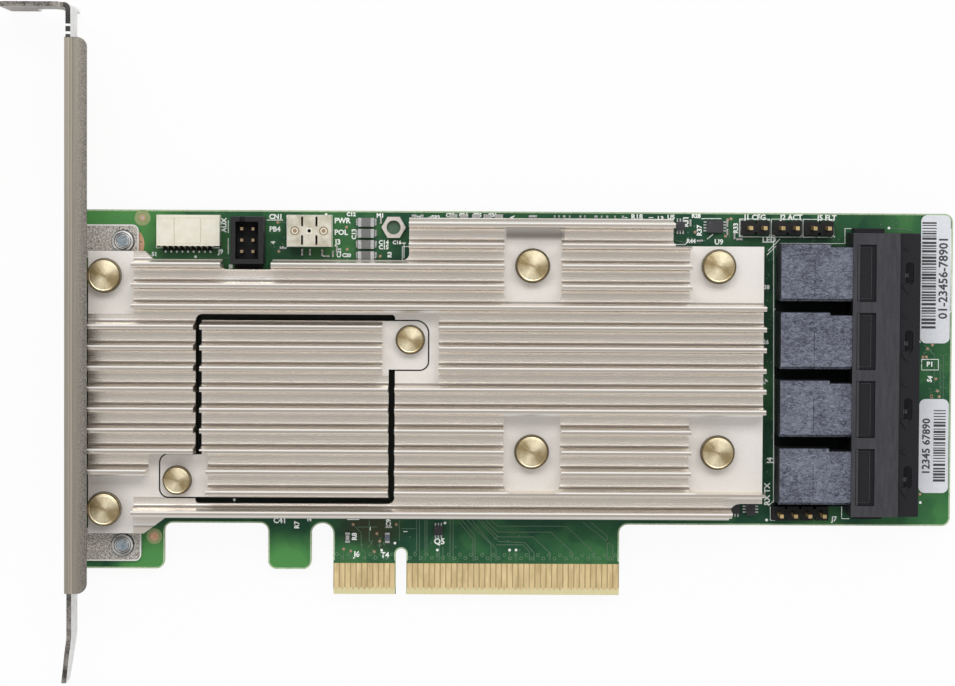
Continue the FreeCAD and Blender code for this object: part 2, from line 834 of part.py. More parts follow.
def finned_slab(body, left, bottom, right, top, first_fin):
    """A base plate with straight fins along X, as it leaves the extrusion die."""
    pad(body, face(body, "XY_Plane", s.sink_lift, [box_points(left, bottom, right, top)]),
        s.sink_base)
    root, tip, bend = s.fin_root / 2, s.fin_tip / 2, s.fin_fillet
    slope = [(root + bend, sink_floor), (root + bend * 0.3, sink_floor + bend * 0.3),
             (root, sink_floor + bend), (tip, fin_top - s.fin_edge / 2),
             (tip - s.fin_edge, fin_top)]
    fin = [(first_fin + x, z) for x, z in slope]
    fin += [(first_fin - x, z) for x, z in reversed(slope)]
    feature = pad(body, face(body, "YZ_Plane", left, [fin]), right - left)
    span = top.value - first_fin.value
    count = int(span / s.fin_pitch.value) + 1
    repeat(body, feature, "Y_Axis", s.fin_pitch, count)


def trim_to(body, left, bottom, right, top, points):
    """Cuts away all that lies outside the outline."""
    frame = box_points(left - 5, bottom - 5, right + 5, top + 5)
    sketch = face(body, "XY_Plane", s.sink_lift, [frame, points])
    pocket(body, sketch, s.sink_base + s.fin_height + 1, reverse=True)


def mill(body, loops):
    """Clears the fins inside each outline and leaves a floor a little below their roots."""
    sketch = face(body, "XY_Plane", milled_floor, loops)
    pocket(body, sketch, fin_top - milled_floor + 1, reverse=True)


def make_main_heatsink():
    body = new_body("main_heatsink")
    bottom = s.sink_bottom - s.sink_foot_drop
    finned_slab(body, s.sink_left, bottom, sink_right, sink_top, s.first_fin)
    corner = s.sink_corner
    notch_left = s.shroud_left - s.shroud_clear_side
    notch_right = shroud_right + s.shroud_clear_side
    notch_bottom = shroud_bottom - s.shroud_clear_end
    left_top = board_top - s.sink_left_gap
    cut_top = s.sink_bottom + s.sink_cut_height
    foot = s.sink_left + s.sink_foot_length
    points = [
        (s.sink_left, bottom), (foot, bottom), (foot + s.sink_foot_slope, s.sink_bottom),
        (cut_left, s.sink_bottom), (cut_left, cut_top, s.sink_cut_corner),
        (sink_right, cut_top),
        (sink_right, sink_right_top), (s.raised_right, sink_right_top),
        (s.raised_right, sink_top), (s.raised_left, sink_top),
        (s.raised_left, sink_left_top, s.window_corner),
        (notch_right, sink_left_top), (notch_right, notch_bottom, corner),
        (notch_left, notch_bottom, corner), (notch_left, sink_left_top),
        (s.sink_left + s.sink_left_flat + left_top - sink_left_top, sink_left_top),
        (s.sink_left + s.sink_left_flat, left_top), (s.sink_left, left_top)]
    trim_to(body, s.sink_left, bottom, sink_right, sink_top, points)
    gap = s.tab_gap
    corner, high_corner = s.small_tab_corner + gap, s.high_tab_corner + gap
    window = [
        (low_tab_left - gap, small_bottom - gap, corner), (s.window_left, small_bottom - gap),
        (s.window_left, s.window_bottom, s.window_corner / 2),
        (window_right, s.window_bottom, s.window_corner),
        (window_right, small_top - s.small_tab_width - gap),
        (high_tab_right + gap, small_top - s.small_tab_width - gap, corner),
        (high_tab_right + gap, small_top + gap, high_corner), (window_right, small_top + gap),
        (window_right, window_top, s.window_corner / 2),
        (s.window_left, window_top, s.window_corner),
        (s.window_left, small_bottom + s.small_low_tab_width + gap),
        (low_tab_left - gap, small_bottom + s.small_low_tab_width + gap, corner)]
    pocket(body, face(body, "XY_Plane", s.sink_lift, [window]),
           s.sink_base + s.fin_height + 1, reverse=True)
    wide, tall, round_in = s.pocket_width, s.pocket_height, s.pocket_corner
    loops = []
    high = board_top - s.high_pocket_drop
    low = s.sink_bottom + s.low_pocket_rise
    middle_left = middle_pin_x - s.pocket_lead
    right_left = right_pin_x - s.pocket_lead
    loops.append(box_points(middle_left, high, middle_left + wide, high + tall, round_in))
    loops.append(box_points(middle_left, low, middle_left + wide, low + tall, round_in))
    for start in (high, low):
        loops.append([(right_left, start, round_in), (sink_right + 2, start),
                      (sink_right + 2, start + tall), (right_left, start + tall, round_in)])
    flat_right = s.sink_left + s.flat_width
    margin = s.relief_margin
    relief = box_points(window_right - 1, small_top - s.small_tab_width - s.relief_drop,
                        high_tab_right + margin, window_top)
    upper_flat = box_points(s.sink_left - 2, board_top - s.upper_flat_drop, flat_right,
                            board_top - 1)
    flat_top = s.left_pin_low + s.lower_flat_rise
    tab_top = small_bottom + s.small_low_tab_width + gap
    flat_end = s.sink_left + s.lower_flat_inset
    lower_flat = [
        (s.sink_left - 2, bottom - 2), (flat_right, bottom - 2), (flat_right, small_bottom),
        (s.window_left + 1, small_bottom), (s.window_left + 1, tab_top + gap),
        (flat_end, tab_top + gap), (flat_end, flat_top), (s.sink_left - 2, flat_top)]
    mill(body, loops + [relief, upper_flat, lower_flat])
    for x, y in main_pins:
        hole = face(body, "XY_Plane", s.sink_lift, [many_sided(x, y, pin_hole)])
        pocket(body, hole, s.sink_base + 1, reverse=True)
    settle(body, "main_heatsink")


def make_small_heatsink():
    body = new_body("small_heatsink")
    finned_slab(body, low_tab_left, small_bottom, high_tab_right, small_top,
                s.first_fin + s.fin_pitch)
    corner = s.small_tab_corner
    low_tab_top = small_bottom + s.small_low_tab_width
    high_tab_bottom = small_top - s.small_tab_width
    points = [
        (low_tab_left, small_bottom, corner), (small_right, small_bottom),
        (small_right, high_tab_bottom), (high_tab_right, high_tab_bottom, corner),
        (high_tab_right, small_top, s.high_tab_corner), (small_left, small_top),
        (small_left, low_tab_top), (low_tab_left, low_tab_top, corner)]
    trim_to(body, low_tab_left, small_bottom, high_tab_right, small_top, points)
    edge = s.small_fin_stop
    mill(body, [
        box_points(low_tab_left - 1, small_bottom - 1, small_left + edge, low_tab_top + edge),
        box_points(small_right - edge, high_tab_bottom - edge, high_tab_right + 1, small_top + 1)])
    sketch = face(body, "XY_Plane", s.sink_lift,
                  [many_sided(x, y, pin_hole) for x, y in small_pins])
    pocket(body, sketch, s.sink_base + 1, reverse=True)
    settle(body, "small_heatsink")


def push_pin(x, y, head):
    """A brass pin: turned bevelled head, shank and the barb under the board."""
    body = new_body("push_pin")
    under = milled_floor + s.spring_height
    top = under + s.pin_head_height
    barb_top = board_back - s.pin_running
    shank = many_sided(0, 0, s.pin_shank)
    pad(body, face(body, "XY_Plane", barb_top, [shank]), under + s.pin_bevel - barb_top)
    pad(body, face(body, "XY_Plane", barb_top - s.pin_barb_length,
                   [many_sided(0, 0, s.pin_point)]), s.pin_barb_length)
    pad(body, face(body, "XY_Plane", barb_top - s.pin_barb_lip,
                   [many_sided(0, 0, s.pin_barb)]), s.pin_barb_lip)
    profile = [
        (0, under), (head / 2, under), (head / 2, top - s.pin_bevel),
        (head / 2 - s.pin_bevel, top), (0, top)]
    turned(body, face(body, "XZ_Plane", 0, [profile]))
    bind(body, "Placement.Base.x", x)
    bind(body, "Placement.Base.y", y)
    return body


def pin_spring(x, y):
    """A coil of square wire, bent in short straight runs, under the pin's head."""
    radius = (s.pin_shank + s.spring_wire).value / 2 + s.spring_play.value
    wire = s.spring_wire.value
    rise = s.spring_height.value - wire - s.spring_seat.value * 2
    steps = int(s.spring_turns.value * s.spring_runs.value)
    foot = milled_floor.value + s.spring_seat.value + wire / 2
    turns = [(2 * math.pi * step / s.spring_runs.value, foot + rise * step / steps)
             for step in range(steps + 1)]
    path = [FreeCAD.Vector(x.value + radius * math.cos(turn), y.value + radius * math.sin(turn),
                           height) for turn, height in turns]
    along = (path[1] - path[0]).normalize()
    across = along.cross(FreeCAD.Vector(0, 0, 1)).normalize() * (wire / 2)
    upward = across.cross(along)
    square = [path[0] + across * a + upward * b for a, b in
              ((-1, -1), (1, -1), (1, 1), (-1, 1), (-1, -1))]
    section = Part.Wire(Part.makePolygon(square).Edges)
    spring = doc.addObject("Part::Feature", "Spring")
    spring.Shape = Part.Wire(Part.makePolygon(path).Edges).makePipeShell([section], True, False, 1)
    return spring


def make_push_pins():
    settle(group([push_pin(x, y, s.pin_head) for x, y in main_pins]), "main_push_pins")
    settle(group([push_pin(x, y, s.small_pin_head) for x, y in small_pins]),
           "small_push_pins")
    springs = [pin_spring(as_length(x), y) for x, y in main_pins + small_pins]
    settle(group(springs), "pin_springs")


# ---- chips under the heatsinks ----

def centred(x, y, z, length, width, height):
    return block(x - as_length(length) / 2, y - as_length(width) / 2, z, length, width, height)


def make_chips():
    controller = ((small_left + small_right) / 2, (small_bottom + small_top) / 2)
    expander = ((middle_pin_x + right_pin_x) / 2, (high_pin_y + low_pin_y) / 2)
    for label, (x, y), side in (("controller", controller, s.controller_side),
                                ("expander", expander, s.expander_side)):
        lid = side - 2 * s.lid_margin
        pad_height = s.sink_lift - s.substrate - s.lid
        for name, width, floor, height in (
                ("substrate", side, 0, s.substrate), ("lid", lid, s.substrate, s.lid),
                ("thermal_pad", lid - s.paste_margin, s.substrate + s.lid, pad_height)):
            settle(group([centred(x, y, floor, width, width, height)]), label + "_" + name)
    chips = [centred(high_tab_right + s.memory_setback,
                     small_bottom + s.memory_rise + s.memory_pitch * step, 0,
                     s.memory_width, s.memory_length, s.memory_height) for step in (0, 1, 2)]
    settle(group(chips), "memory_chips")


# ---- cable ports ----

def make_port_housing():
    """One moulding with four mouths, each with a contact nose inside."""
    body = new_body("port_housing")
    low = s.port_low - s.mouth_width / 2 - s.port_end
    high = port_centres[3] + s.mouth_width / 2 + s.port_end
    pad(body, face(body, "XY_Plane", 0, [box_points(port_rear, low, port_face, high)]),
        s.port_height)
    step = box_points(port_face - s.port_step, low - 1, port_face + 1, high + 1)
    pocket(body, face(body, "XY_Plane", s.port_height, [step]), s.port_step_drop)
    nub_left = port_rear + s.port_nub_inset
    nub = box_points(nub_left, low - s.port_nub_reach, nub_left + s.port_nub_length,
                     high + s.port_nub_reach)
    pad(body, face(body, "XY_Plane", 0, [nub]), s.port_nub_height)
    first = s.port_low
    mouth = box_points(first - s.mouth_width / 2, s.mouth_lift, first + s.mouth_width / 2,
                       s.mouth_lift + s.mouth_height)
    well = pocket(body, face(body, "YZ_Plane", port_face, [mouth]), s.mouth_depth)
    repeat(body, well, "Y_Axis", s.port_pitch, 4)
    nose_low = s.mouth_lift + (s.mouth_height - s.nose_height) / 2
    nose = box_points(first - s.nose_width / 2, nose_low, first + s.nose_width / 2,
                      nose_low + s.nose_height)
    middle = nose_low + s.nose_height / 2
    slots = [box_points(first - s.nose_width / 2 + s.nose_wall, middle + s.slot_pitch * side
                        - s.slot_height / 2, first + s.nose_width / 2 - s.nose_wall,
                        middle + s.slot_pitch * side + s.slot_height / 2)
             for side in (-0.5, 0.5)]
    nose_root = port_face - s.mouth_depth
    noses = pad(body, face(body, "YZ_Plane", nose_root, [nose] + slots),
                s.mouth_depth - s.nose_setback)
    repeat(body, noses, "Y_Axis", s.port_pitch, 4)
    left = port_rear + s.port_window_inset
    window = box_points(left, first - s.port_window_length / 2, left + s.port_window_width,
                        first + s.port_window_length / 2)
    frame = pocket(body, face(body, "XY_Plane", s.port_height, [window]), s.port_window_depth)
    repeat(body, frame, "Y_Axis", s.port_pitch, 4)
    latch_left = port_face - s.latch_inset - s.latch_width
    half = s.latch_length / 2
    latch = box_points(latch_left, first - half, latch_left + s.latch_width, first + half,
                       s.latch_width / 2 - 0.02)
    hole = pocket(body, face(body, "XY_Plane", s.port_height, [latch]),
                  s.port_height - s.mouth_lift - s.mouth_height + 1)
    repeat(body, hole, "Y_Axis", s.port_pitch, 4)
    settle(body, "port_housing")


def make_port_blocks():
    """The shielded wafer stacks behind the ports, one to each."""
    for index, middle in enumerate(port_centres, start=1):
        body = new_body("port_block")
        half = s.block_width / 2
        neck_left = port_rear - s.block_neck_length
        neck_top = middle + half - s.block_neck_step
        plan = [(block_left, middle - half), (port_rear, middle - half), (port_rear, neck_top),
                (neck_left, neck_top), (neck_left, middle + half), (block_left, middle + half)]
        pad(body, face(body, "XY_Plane", 0, [plan]), s.block_height)
        shelf = box_points(block_left - 1, middle + half - s.block_shelf, port_rear,
                           middle + half + 1)
        pocket(body, face(body, "XY_Plane", s.block_height, [shelf]), s.block_shelf_drop)
        rim = box_points(block_left - 1, middle - half - 1, port_rear,
                         middle - half + s.block_rim)
        pocket(body, face(body, "XY_Plane", s.block_height, [rim]), s.block_rim_drop)
        settle(body, "port_block_%d" % index)


# ---- fittings on the board ----

def square_pins(places, below, above):
    side = s.pin_square
    return [block(x - side / 2, y - side / 2, -below, side, side, below + above)
            for x, y in places]


def header_base(body, first_x, y, count):
    """A row of moulded squares, nicked between one pin and the next."""
    left = first_x - s.header_pitch / 2
    right = left + s.header_pitch * count
    half = s.header_width / 2
    nick = s.header_notch
    low, high = [], []
    for step in range(1, count):
        seam = left + s.header_pitch * step
        low += [(seam - nick / 2, y - half), (seam - nick / 2, y - half + nick),
                (seam + nick / 2, y - half + nick), (seam + nick / 2, y - half)]
        high += [(seam - nick / 2, y + half), (seam - nick / 2, y + half - nick),
                 (seam + nick / 2, y + half - nick), (seam + nick / 2, y + half)]
    high.reverse()
    loop = [(left, y - half)] + low + [(right, y - half), (right, y + half)] + high
    loop.append((left, y + half))
    side = s.pin_square + s.pin_fit
    wells = [box_points(first_x + s.header_pitch * step - side / 2, y - side / 2,
                        first_x + s.header_pitch * step + side / 2, y + side / 2)
             for step in range(count)]
    pad(body, face(body, "XY_Plane", 0, [loop] + wells), s.header_height)


def make_headers():
    body = new_body("jumper_bases")
    for x, y in jumpers:
        header_base(body, x - s.header_pitch / 2, y, 2)
    settle(body, "jumper_bases")
    below = s.board_thickness + s.pin_below
    above = s.header_height + s.pin_above
    settle(group(square_pins(jumper_pins, below, above)), "jumper_pins")
    body = new_body("service_base")
    header_base(body, s.service_left, as_length(s.service_y), 4)
    settle(body, "service_header_base")
    settle(group(square_pins(service_pins, below, above)), "service_header_pins")


def make_power_connector():
    """Side-entry wire connector, its mouth towards the board's top edge."""
    body = new_body("power_connector")
    left, right = s.power_left, s.power_left + s.power_length
    top = board_top - s.power_drop
    low = top - s.power_depth
    wall = s.power_wall
    pad(body, face(body, "XY_Plane", 0, [box_points(left, low, right, top)]), s.power_height)
    mouth = box_points(left + wall, wall, right - wall, s.power_height - wall)
    pocket(body, face(body, "XZ_Plane", -top, [mouth]), s.power_depth - s.power_rear_wall,
           reverse=True)
    seams = [left + s.power_length * share for share in (0.27, 0.68)]
    grooves = [box_points(seam, low - 1, seam + s.power_groove, top + 1) for seam in seams]
    pocket(body, face(body, "XY_Plane", s.power_height, grooves), s.power_groove_depth)
    settle(body, "power_connector")
    first = (left + right) / 2 - 4 * s.lead_pitch - s.lead_offset
    leads = [block(first + s.lead_pitch * step - s.lead_width / 2, low - s.lead_length, 0,
                   s.lead_width, s.lead_length, s.lead_height) for step in range(9)]
    settle(group(leads), "power_connector_leads")


def make_shrouded_header():
    body = new_body("shrouded_header")
    left, right = s.shroud_left, shroud_right
    low, high = shroud_bottom, shroud_bottom + s.shroud_depth
    wall = s.shroud_wall
    pad(body, face(body, "XY_Plane", 0, [box_points(left, low, right, high)]), s.shroud_height)
    ledge = box_points(left + wall / 2, low - s.shroud_ledge, right - wall / 2, low)
    pad(body, face(body, "XY_Plane", 0, [ledge]), s.shroud_ledge_height)
    well = box_points(left + wall, low + wall, right - wall, high - wall)
    pocket(body, face(body, "XY_Plane", s.shroud_height, [well]), s.shroud_well)
    key_left = left + s.shroud_key_inset
    key = box_points(key_left, high - wall - s.shroud_pin, key_left + s.shroud_key, high + 1)
    pocket(body, face(body, "XY_Plane", s.shroud_height, [key]), s.shroud_well / 2)
    settle(body, "shrouded_header")
    middle_x, middle_y = (left + right) / 2, (low + high) / 2
    floor = s.shroud_height - s.shroud_well
    pins = [centred(middle_x + s.shroud_pitch * column, middle_y + s.shroud_pitch * line,
                    floor, s.shroud_pin, s.shroud_pin, s.shroud_well - s.shroud_pin_drop)
            for column in (-0.5, 0.5) for line in (-1, 0, 1)]
    settle(group(pins), "shrouded_header_pins")


def make_key_socket():
    """Three-way upright socket split by slots between its ways."""
    body = new_body("key_socket")
    left, right = s.key_left, s.key_left + s.key_length
    high = board_top - s.key_drop
    low = high - s.key_depth
    pad(body, face(body, "XY_Plane", 0, [box_points(left, low, right, high)]),
        s.key_socket_height)
    slots = []
    for x, y in key_pins[:2]:
        seam = x + s.header_pitch / 2
        left_side, right_side = seam - s.key_slot / 2, seam + s.key_slot / 2
        for start in (low + s.key_rim, high - s.key_rim - s.key_slot_length):
            slots.append(box_points(left_side, start, right_side, start + s.key_slot_length))
    pocket(body, face(body, "XY_Plane", s.key_socket_height, slots), s.key_socket_height - 1)
    half = s.key_well / 2
    wells = [box_points(x - half, y - half, x + half, y + half) for x, y in key_pins]
    pocket(body, face(body, "XY_Plane", s.key_socket_height, wells), s.key_socket_height)
    settle(body, "key_socket")
    below = s.board_thickness + s.pin_below
    settle(group(square_pins(key_pins, below, s.key_socket_height - s.key_pin_drop)), "key_socket_pins")


def chip_part(x, y, length, width, height, end, along_x=True):
    """A ceramic chip as one block and its metal ends as two more."""
    if along_x:
        middle = block(x + end, y, 0, length - 2 * end, width, height)
        ends = [block(x, y, 0, end, width, height),
                block(x + length - end, y, 0, end, width, height)]
    else:
        middle = block(x, y + end, 0, length, width - 2 * end, height)
        ends = [block(x, y, 0, length, end, height),
                block(x, y + width - end, 0, length, end, height)]
    return middle, ends


def make_small_parts():
    middles, ends = [], []
    for step in range(4):
        y = board_top - s.cap_drop - s.cap_width / 2 - s.cap_pitch * step
        middle, caps = chip_part(s.cap_left, y, s.cap_length, s.cap_width, s.cap_height,
                                 s.cap_end)
        middles.append(middle)
        ends += caps
    for x in (s.low_chip_left, s.low_chip_left + s.low_chip_spacing):
        middle, caps = chip_part(x, as_length(-s.low_chip_drop), s.low_chip_width,
                                 s.low_chip_length, s.low_chip_height, s.low_chip_end, False)
        middles.append(middle)
        ends += caps
    settle(group(middles), "capacitor_bodies")
    settle(group(ends), "capacitor_ends")


def leaded_chip(x, y, length, width, height, leads, pitch, sides_x):
    """A small moulded chip with flat leads along two sides."""
    body = centred(x, y, s.chip_lift, length, width, height)
    reach, wide, thick = s.foot_reach, s.foot_breadth, s.foot_thickness
    feet = []
    for side in (-1, 1):
        for step in range(leads):
            offset = (step - (leads - 1) / 2) * pitch
            if sides_x:
                feet.append(centred(x + (length + reach) / 2 * side, y + offset, 0,
                                    reach, wide, thick))
            else:
                feet.append(centred(x + offset, y + (width + reach) / 2 * side, 0,
                                    wide, reach, thick))
    return body, feet


def make_small_chips():
    chips, feet = [], []
    top = board_top
    cut_middle = s.sink_bottom + s.sink_cut_height / 2
    for x, y, length, width, leads, sides in (
            (s.bus_chip_x, top - s.top_chip_drop, s.bus_chip_length, s.bus_chip_width, 4, True),
            (s.gate_chip_x, top - s.top_chip_drop, s.gate_chip_side, s.gate_chip_side, 3, False),
            (s.low_gate_x, as_length(-s.low_gate_drop), s.gate_chip_side, s.gate_chip_side, 3,
             False),
            (cut_left + s.gate_chip_side, cut_middle, s.gate_chip_side, s.gate_chip_side, 3,
             False),
            (sink_right - s.gate_chip_side, cut_middle, s.gate_chip_side, s.bus_chip_width, 3,
             True)):
        chip, legs = leaded_chip(x, y, length, width, s.chip_height, leads, s.foot_pitch, sides)
        chips.append(chip)
        feet += legs
    settle(group(chips), "small_chips")
    settle(group(feet), "small_chip_leads")


def make_labels():
    body = new_body("labels")
    right = board_right - s.label_margin
    left = right - s.label_width
    upper = board_top - s.label_top_gap
    for low, high in ((s.low_label_rise, s.low_label_rise + s.low_label_length),
                      (upper - s.top_label_length, upper)):
        place = box_points(left, low, right, high, s.label_corner)
        pad(body, face(body, "XY_Plane", 0, [place]), s.label_thickness)
    settle(body, "labels")


make_board()
make_board_post()
make_contacts("edge_contacts_front", as_length(0))
make_contacts("edge_contacts_back", board_back - s.contact_lift)
make_bracket()
make_bracket_screws()
make_main_heatsink()
make_small_heatsink()
make_push_pins()
make_chips()
make_port_housing()
make_port_blocks()
make_headers()
make_power_connector()
make_shrouded_header()
make_key_socket()
make_small_parts()
make_small_chips()
make_labels()
doc.recompute()

failed = [item.Label for item in doc.Objects if {"Invalid", "Error"} & set(item.State)]
failed += [item.Label for item in nodes if item.Shape.isNull() or not item.Shape.isValid()]
if failed:
    raise RuntimeError("these did not build: %s" % ", ".join(failed))
os.makedirs("parts", exist_ok=True)
for item in nodes:
    item.Shape.exportStep("parts/%s.step" % item.Label)
    print("%-24s %3d solids %9.2f mm3" % (item.Label, len(item.Shape.Solids), item.Shape.Volume))
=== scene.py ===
import bpy
import bmesh
import math
import random
from mathutils import Matrix, Vector


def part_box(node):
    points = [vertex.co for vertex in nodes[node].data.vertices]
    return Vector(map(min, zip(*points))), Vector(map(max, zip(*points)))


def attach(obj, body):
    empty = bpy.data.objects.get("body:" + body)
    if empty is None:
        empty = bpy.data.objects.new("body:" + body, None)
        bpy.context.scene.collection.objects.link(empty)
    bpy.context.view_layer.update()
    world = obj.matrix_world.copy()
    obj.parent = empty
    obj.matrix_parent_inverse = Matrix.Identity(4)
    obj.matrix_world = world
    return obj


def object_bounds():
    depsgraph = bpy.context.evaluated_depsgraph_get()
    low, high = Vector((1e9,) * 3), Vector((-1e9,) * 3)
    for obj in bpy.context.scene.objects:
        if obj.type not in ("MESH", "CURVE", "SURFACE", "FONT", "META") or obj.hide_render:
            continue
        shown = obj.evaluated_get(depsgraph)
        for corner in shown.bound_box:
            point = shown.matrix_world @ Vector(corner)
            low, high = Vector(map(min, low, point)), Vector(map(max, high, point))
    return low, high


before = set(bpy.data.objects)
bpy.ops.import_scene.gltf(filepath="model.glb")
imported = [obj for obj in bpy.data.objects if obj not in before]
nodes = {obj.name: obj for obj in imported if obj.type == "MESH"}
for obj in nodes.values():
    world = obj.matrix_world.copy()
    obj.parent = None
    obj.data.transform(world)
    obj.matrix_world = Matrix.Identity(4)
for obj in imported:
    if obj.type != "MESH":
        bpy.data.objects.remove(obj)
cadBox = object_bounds()
print("card frame loaded:", len(nodes), "nodes")

mm = 0.001
corner = {"fromRight": 0.15735, "fromTop": 0.05605}  # bracket's outer face, board's lower edge
boardLow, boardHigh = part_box("circuit_board")
faceZ = boardHigh.z  # component side of the board
backLevel = (boardLow.z - faceZ) / mm  # solder side, below the component side
cornerX = boardHigh.x - corner["fromRight"]
edgeY = boardHigh.y - corner["fromTop"]


def spot(x, y, z=0.0):  # mm from the bracket face, the lower edge and the component side
    return Vector((cornerX + x * mm, edgeY + y * mm, faceZ + z * mm))


def placeOn(axis, value):  # one of those places as the shaders measure it
    place = [value if axis == other else 0 for other in "xyz"]
    return spot(*place)["xyz".index(axis)] / mm


def extent(name):  # a node's box in the same mm
    low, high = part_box(name)
    origin = spot(0, 0)
    return [(v - origin) / mm for v in (low, high)]


class Flow:  # one socket, so sums read as sums
    def __init__(self, owner, socket):
        self.owner = owner
        self.socket = socket

    def __add__(self, other):
        return self.owner.maths("ADD", self, other)

    def __radd__(self, other):
        return self.owner.maths("ADD", other, self)

    def __sub__(self, other):
        return self.owner.maths("SUBTRACT", self, other)

    def __rsub__(self, other):
        return self.owner.maths("SUBTRACT", other, self)

    def __mul__(self, other):
        return self.owner.maths("MULTIPLY", self, other)

    def __rmul__(self, other):
        return self.owner.maths("MULTIPLY", other, self)

    def size(self):  # without its sign
        return self.owner.maths("ABSOLUTE", self)

    def over(self, level):  # 1 where the flow is above a level
        return self.owner.maths("GREATER_THAN", self, level)

    def under(self, level):
        return self.owner.maths("LESS_THAN", self, level)

    def between(self, low, high):
        return self.over(low) * self.under(high)


class Tree:  # a node tree with short calls
    def __init__(self, tree):
        self.tree = tree

    def node(self, kind, sockets=None, out=0, **settings):
        made = self.tree.nodes.new(kind)
        for key, value in settings.items():
            setattr(made, key, value)
        for key, value in (sockets or {}).items():
            self.join(made.inputs[key], value)
        return Flow(self, made.outputs[out])

    def join(self, socket, value):
        if isinstance(value, Flow):
            self.tree.links.new(value.socket, socket)
        elif isinstance(value, tuple):
            size = len(socket.default_value)
            socket.default_value = (*value, 1)[:size]
        else:
            socket.default_value = value

    def maths(self, operation, *values):
        return self.node("ShaderNodeMath", dict(enumerate(values)), operation=operation)

    def vector(self, operation, *values, out=0):
        return self.node("ShaderNodeVectorMath", dict(enumerate(values)), out,
                         operation=operation)

    def remap(self, flow, low, high, newLow=0.0, newHigh=1.0):
        return self.node("ShaderNodeMapRange", {
            0: flow, 1: low, 2: high, 3: newLow, 4: newHigh})

    def blend(self, factor, first, second):  # two shaders
        return self.node("ShaderNodeMixShader", {0: factor, 1: first, 2: second})

    def ray(self, kind):
        return self.node("ShaderNodeLightPath", out="Is %s Ray" % kind)


class Finish(Tree):
    def __init__(self, name):
        self.material = bpy.data.materials.new(name)
        self.material.use_nodes = True
        super().__init__(self.material.node_tree)
        self.shader = self.tree.nodes["Principled BSDF"]
        whole = self.node("ShaderNodeTexCoord", out="Object")
        self.place = self.node("ShaderNodeVectorMath", {0: whole, 3: 1 / mm},
                               operation="SCALE")  # in mm

    def stretched(self, stretch):
        return self.vector("MULTIPLY", self.place, stretch)

    def grain(self, scale, stretch=(1, 1, 1), detail=3.0, rough=0.55, swirl=0.0):
        return self.node("ShaderNodeTexNoise", {
            "Vector": self.stretched(stretch), "Scale": scale, "Detail": detail,
            "Roughness": rough, "Distortion": swirl})

    def part(self, vector, axis):
        return self.node("ShaderNodeSeparateXYZ", {0: vector}, "xyz".index(axis))

    def along(self, axis):  # one coordinate in mm
        return self.part(self.place, axis)

    def facing(self, axis):
        return self.part(self.node("ShaderNodeNewGeometry", out=1), axis)

    def above(self, axis, level):  # 1 past a place along an axis
        return self.along(axis).over(placeOn(axis, level))

    def below(self, axis, level):
        return self.along(axis).under(placeOn(axis, level))

    def band(self, axis, low, high):
        return self.above(axis, low) * self.below(axis, high)

    def near(self, x, y, reach, softness=0.8):  # 1 in a round patch that fades out
        centre = (*(spot(x, y) / mm)[:2], 0)
        apart = self.vector("DISTANCE", self.stretched((1, 1, 0)), centre, out=1)
        return self.remap(apart, reach * (1 - softness), reach, 1.0, 0.0)

    def patches(self, rows):
        total = 0.0
        for x, y, reach, strength in rows:
            total = self.near(x, y, reach) * strength + total
        return total

    def tint(self, factor, first, second):
        return self.node("ShaderNodeMix", {0: factor, 6: first, 7: second}, 2,
                         data_type="RGBA")

    def mottle(self, flow, low, high, first, second):  # the colour follows a flow
        return self.tint(self.remap(flow, low, high), first, second)

    def bump(self, height, strength, depth):
        return self.node("ShaderNodeBump", {
            "Height": height, "Strength": strength, "Distance": depth * mm})

    def set(self, **sockets):
        for key, value in sockets.items():
            self.join(self.shader.inputs[key.replace("_", " ")], value)
        return self.material


finishes = {}


def settle(piece, slotName, finish=None):
    if finish:
        piece.data.materials.clear()
        piece.data.materials.append(finishes[finish])
    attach(piece, "root")
    return piece


def newObject(name, data):
    made = bpy.data.objects.new(name, data)
    bpy.context.scene.collection.objects.link(made)
    return made


def newPiece(name, corners, faces, edges=()):
    mesh = bpy.data.meshes.new(name)
    mesh.from_pydata([tuple(c) for c in corners], list(edges), faces)
    mesh.update()
    return newObject(name, mesh)


def formed(thing):  # the mesh of an object with its modifiers or its curves worked out
    bpy.context.view_layer.update()
    view = bpy.context.evaluated_depsgraph_get()
    return bpy.data.meshes.new_from_object(thing.evaluated_get(view))


class Growth(Tree):  # one geometry tree with named sizes in mm
    def __init__(self, piece, sizes):
        super().__init__(bpy.data.node_groups.new(piece.name + "Tree", "GeometryNodeTree"))
        face = self.tree.interface
        face.new_socket("Geometry", in_out="INPUT", socket_type="NodeSocketGeometry")
        for key in sizes:
            face.new_socket(key, in_out="INPUT", socket_type="NodeSocketFloat")
        face.new_socket("Geometry", in_out="OUTPUT", socket_type="NodeSocketGeometry")
        self.start = self.tree.nodes.new("NodeGroupInput")
        self.end = self.tree.nodes.new("NodeGroupOutput")
        self.piece = piece
        self.sizes = sizes

    def given(self, key):
        return Flow(self, self.start.outputs[key])

    def finish(self, geometry, finish, slotName):
        solid = self.node("GeometryNodeRealizeInstances", {0: geometry})
        painted = self.node("GeometryNodeSetMaterial",
                            {0: solid, "Material": finishes[finish]})
        self.join(self.end.inputs[0], painted)
        modifier = self.piece.modifiers.new("grow", "NODES")
        modifier.node_group = self.tree
        for item in self.tree.interface.items_tree:
            if item.in_out == "INPUT" and item.name in self.sizes:
                modifier[item.identifier] = float(self.sizes[item.name] * mm)
        mesh = formed(self.piece)
        self.piece.modifiers.clear()
        self.piece.data = mesh
        return settle(self.piece, slotName)


def pairs(row):  # x, y, x, y and so on
    return list(zip(row[::2], row[1::2]))


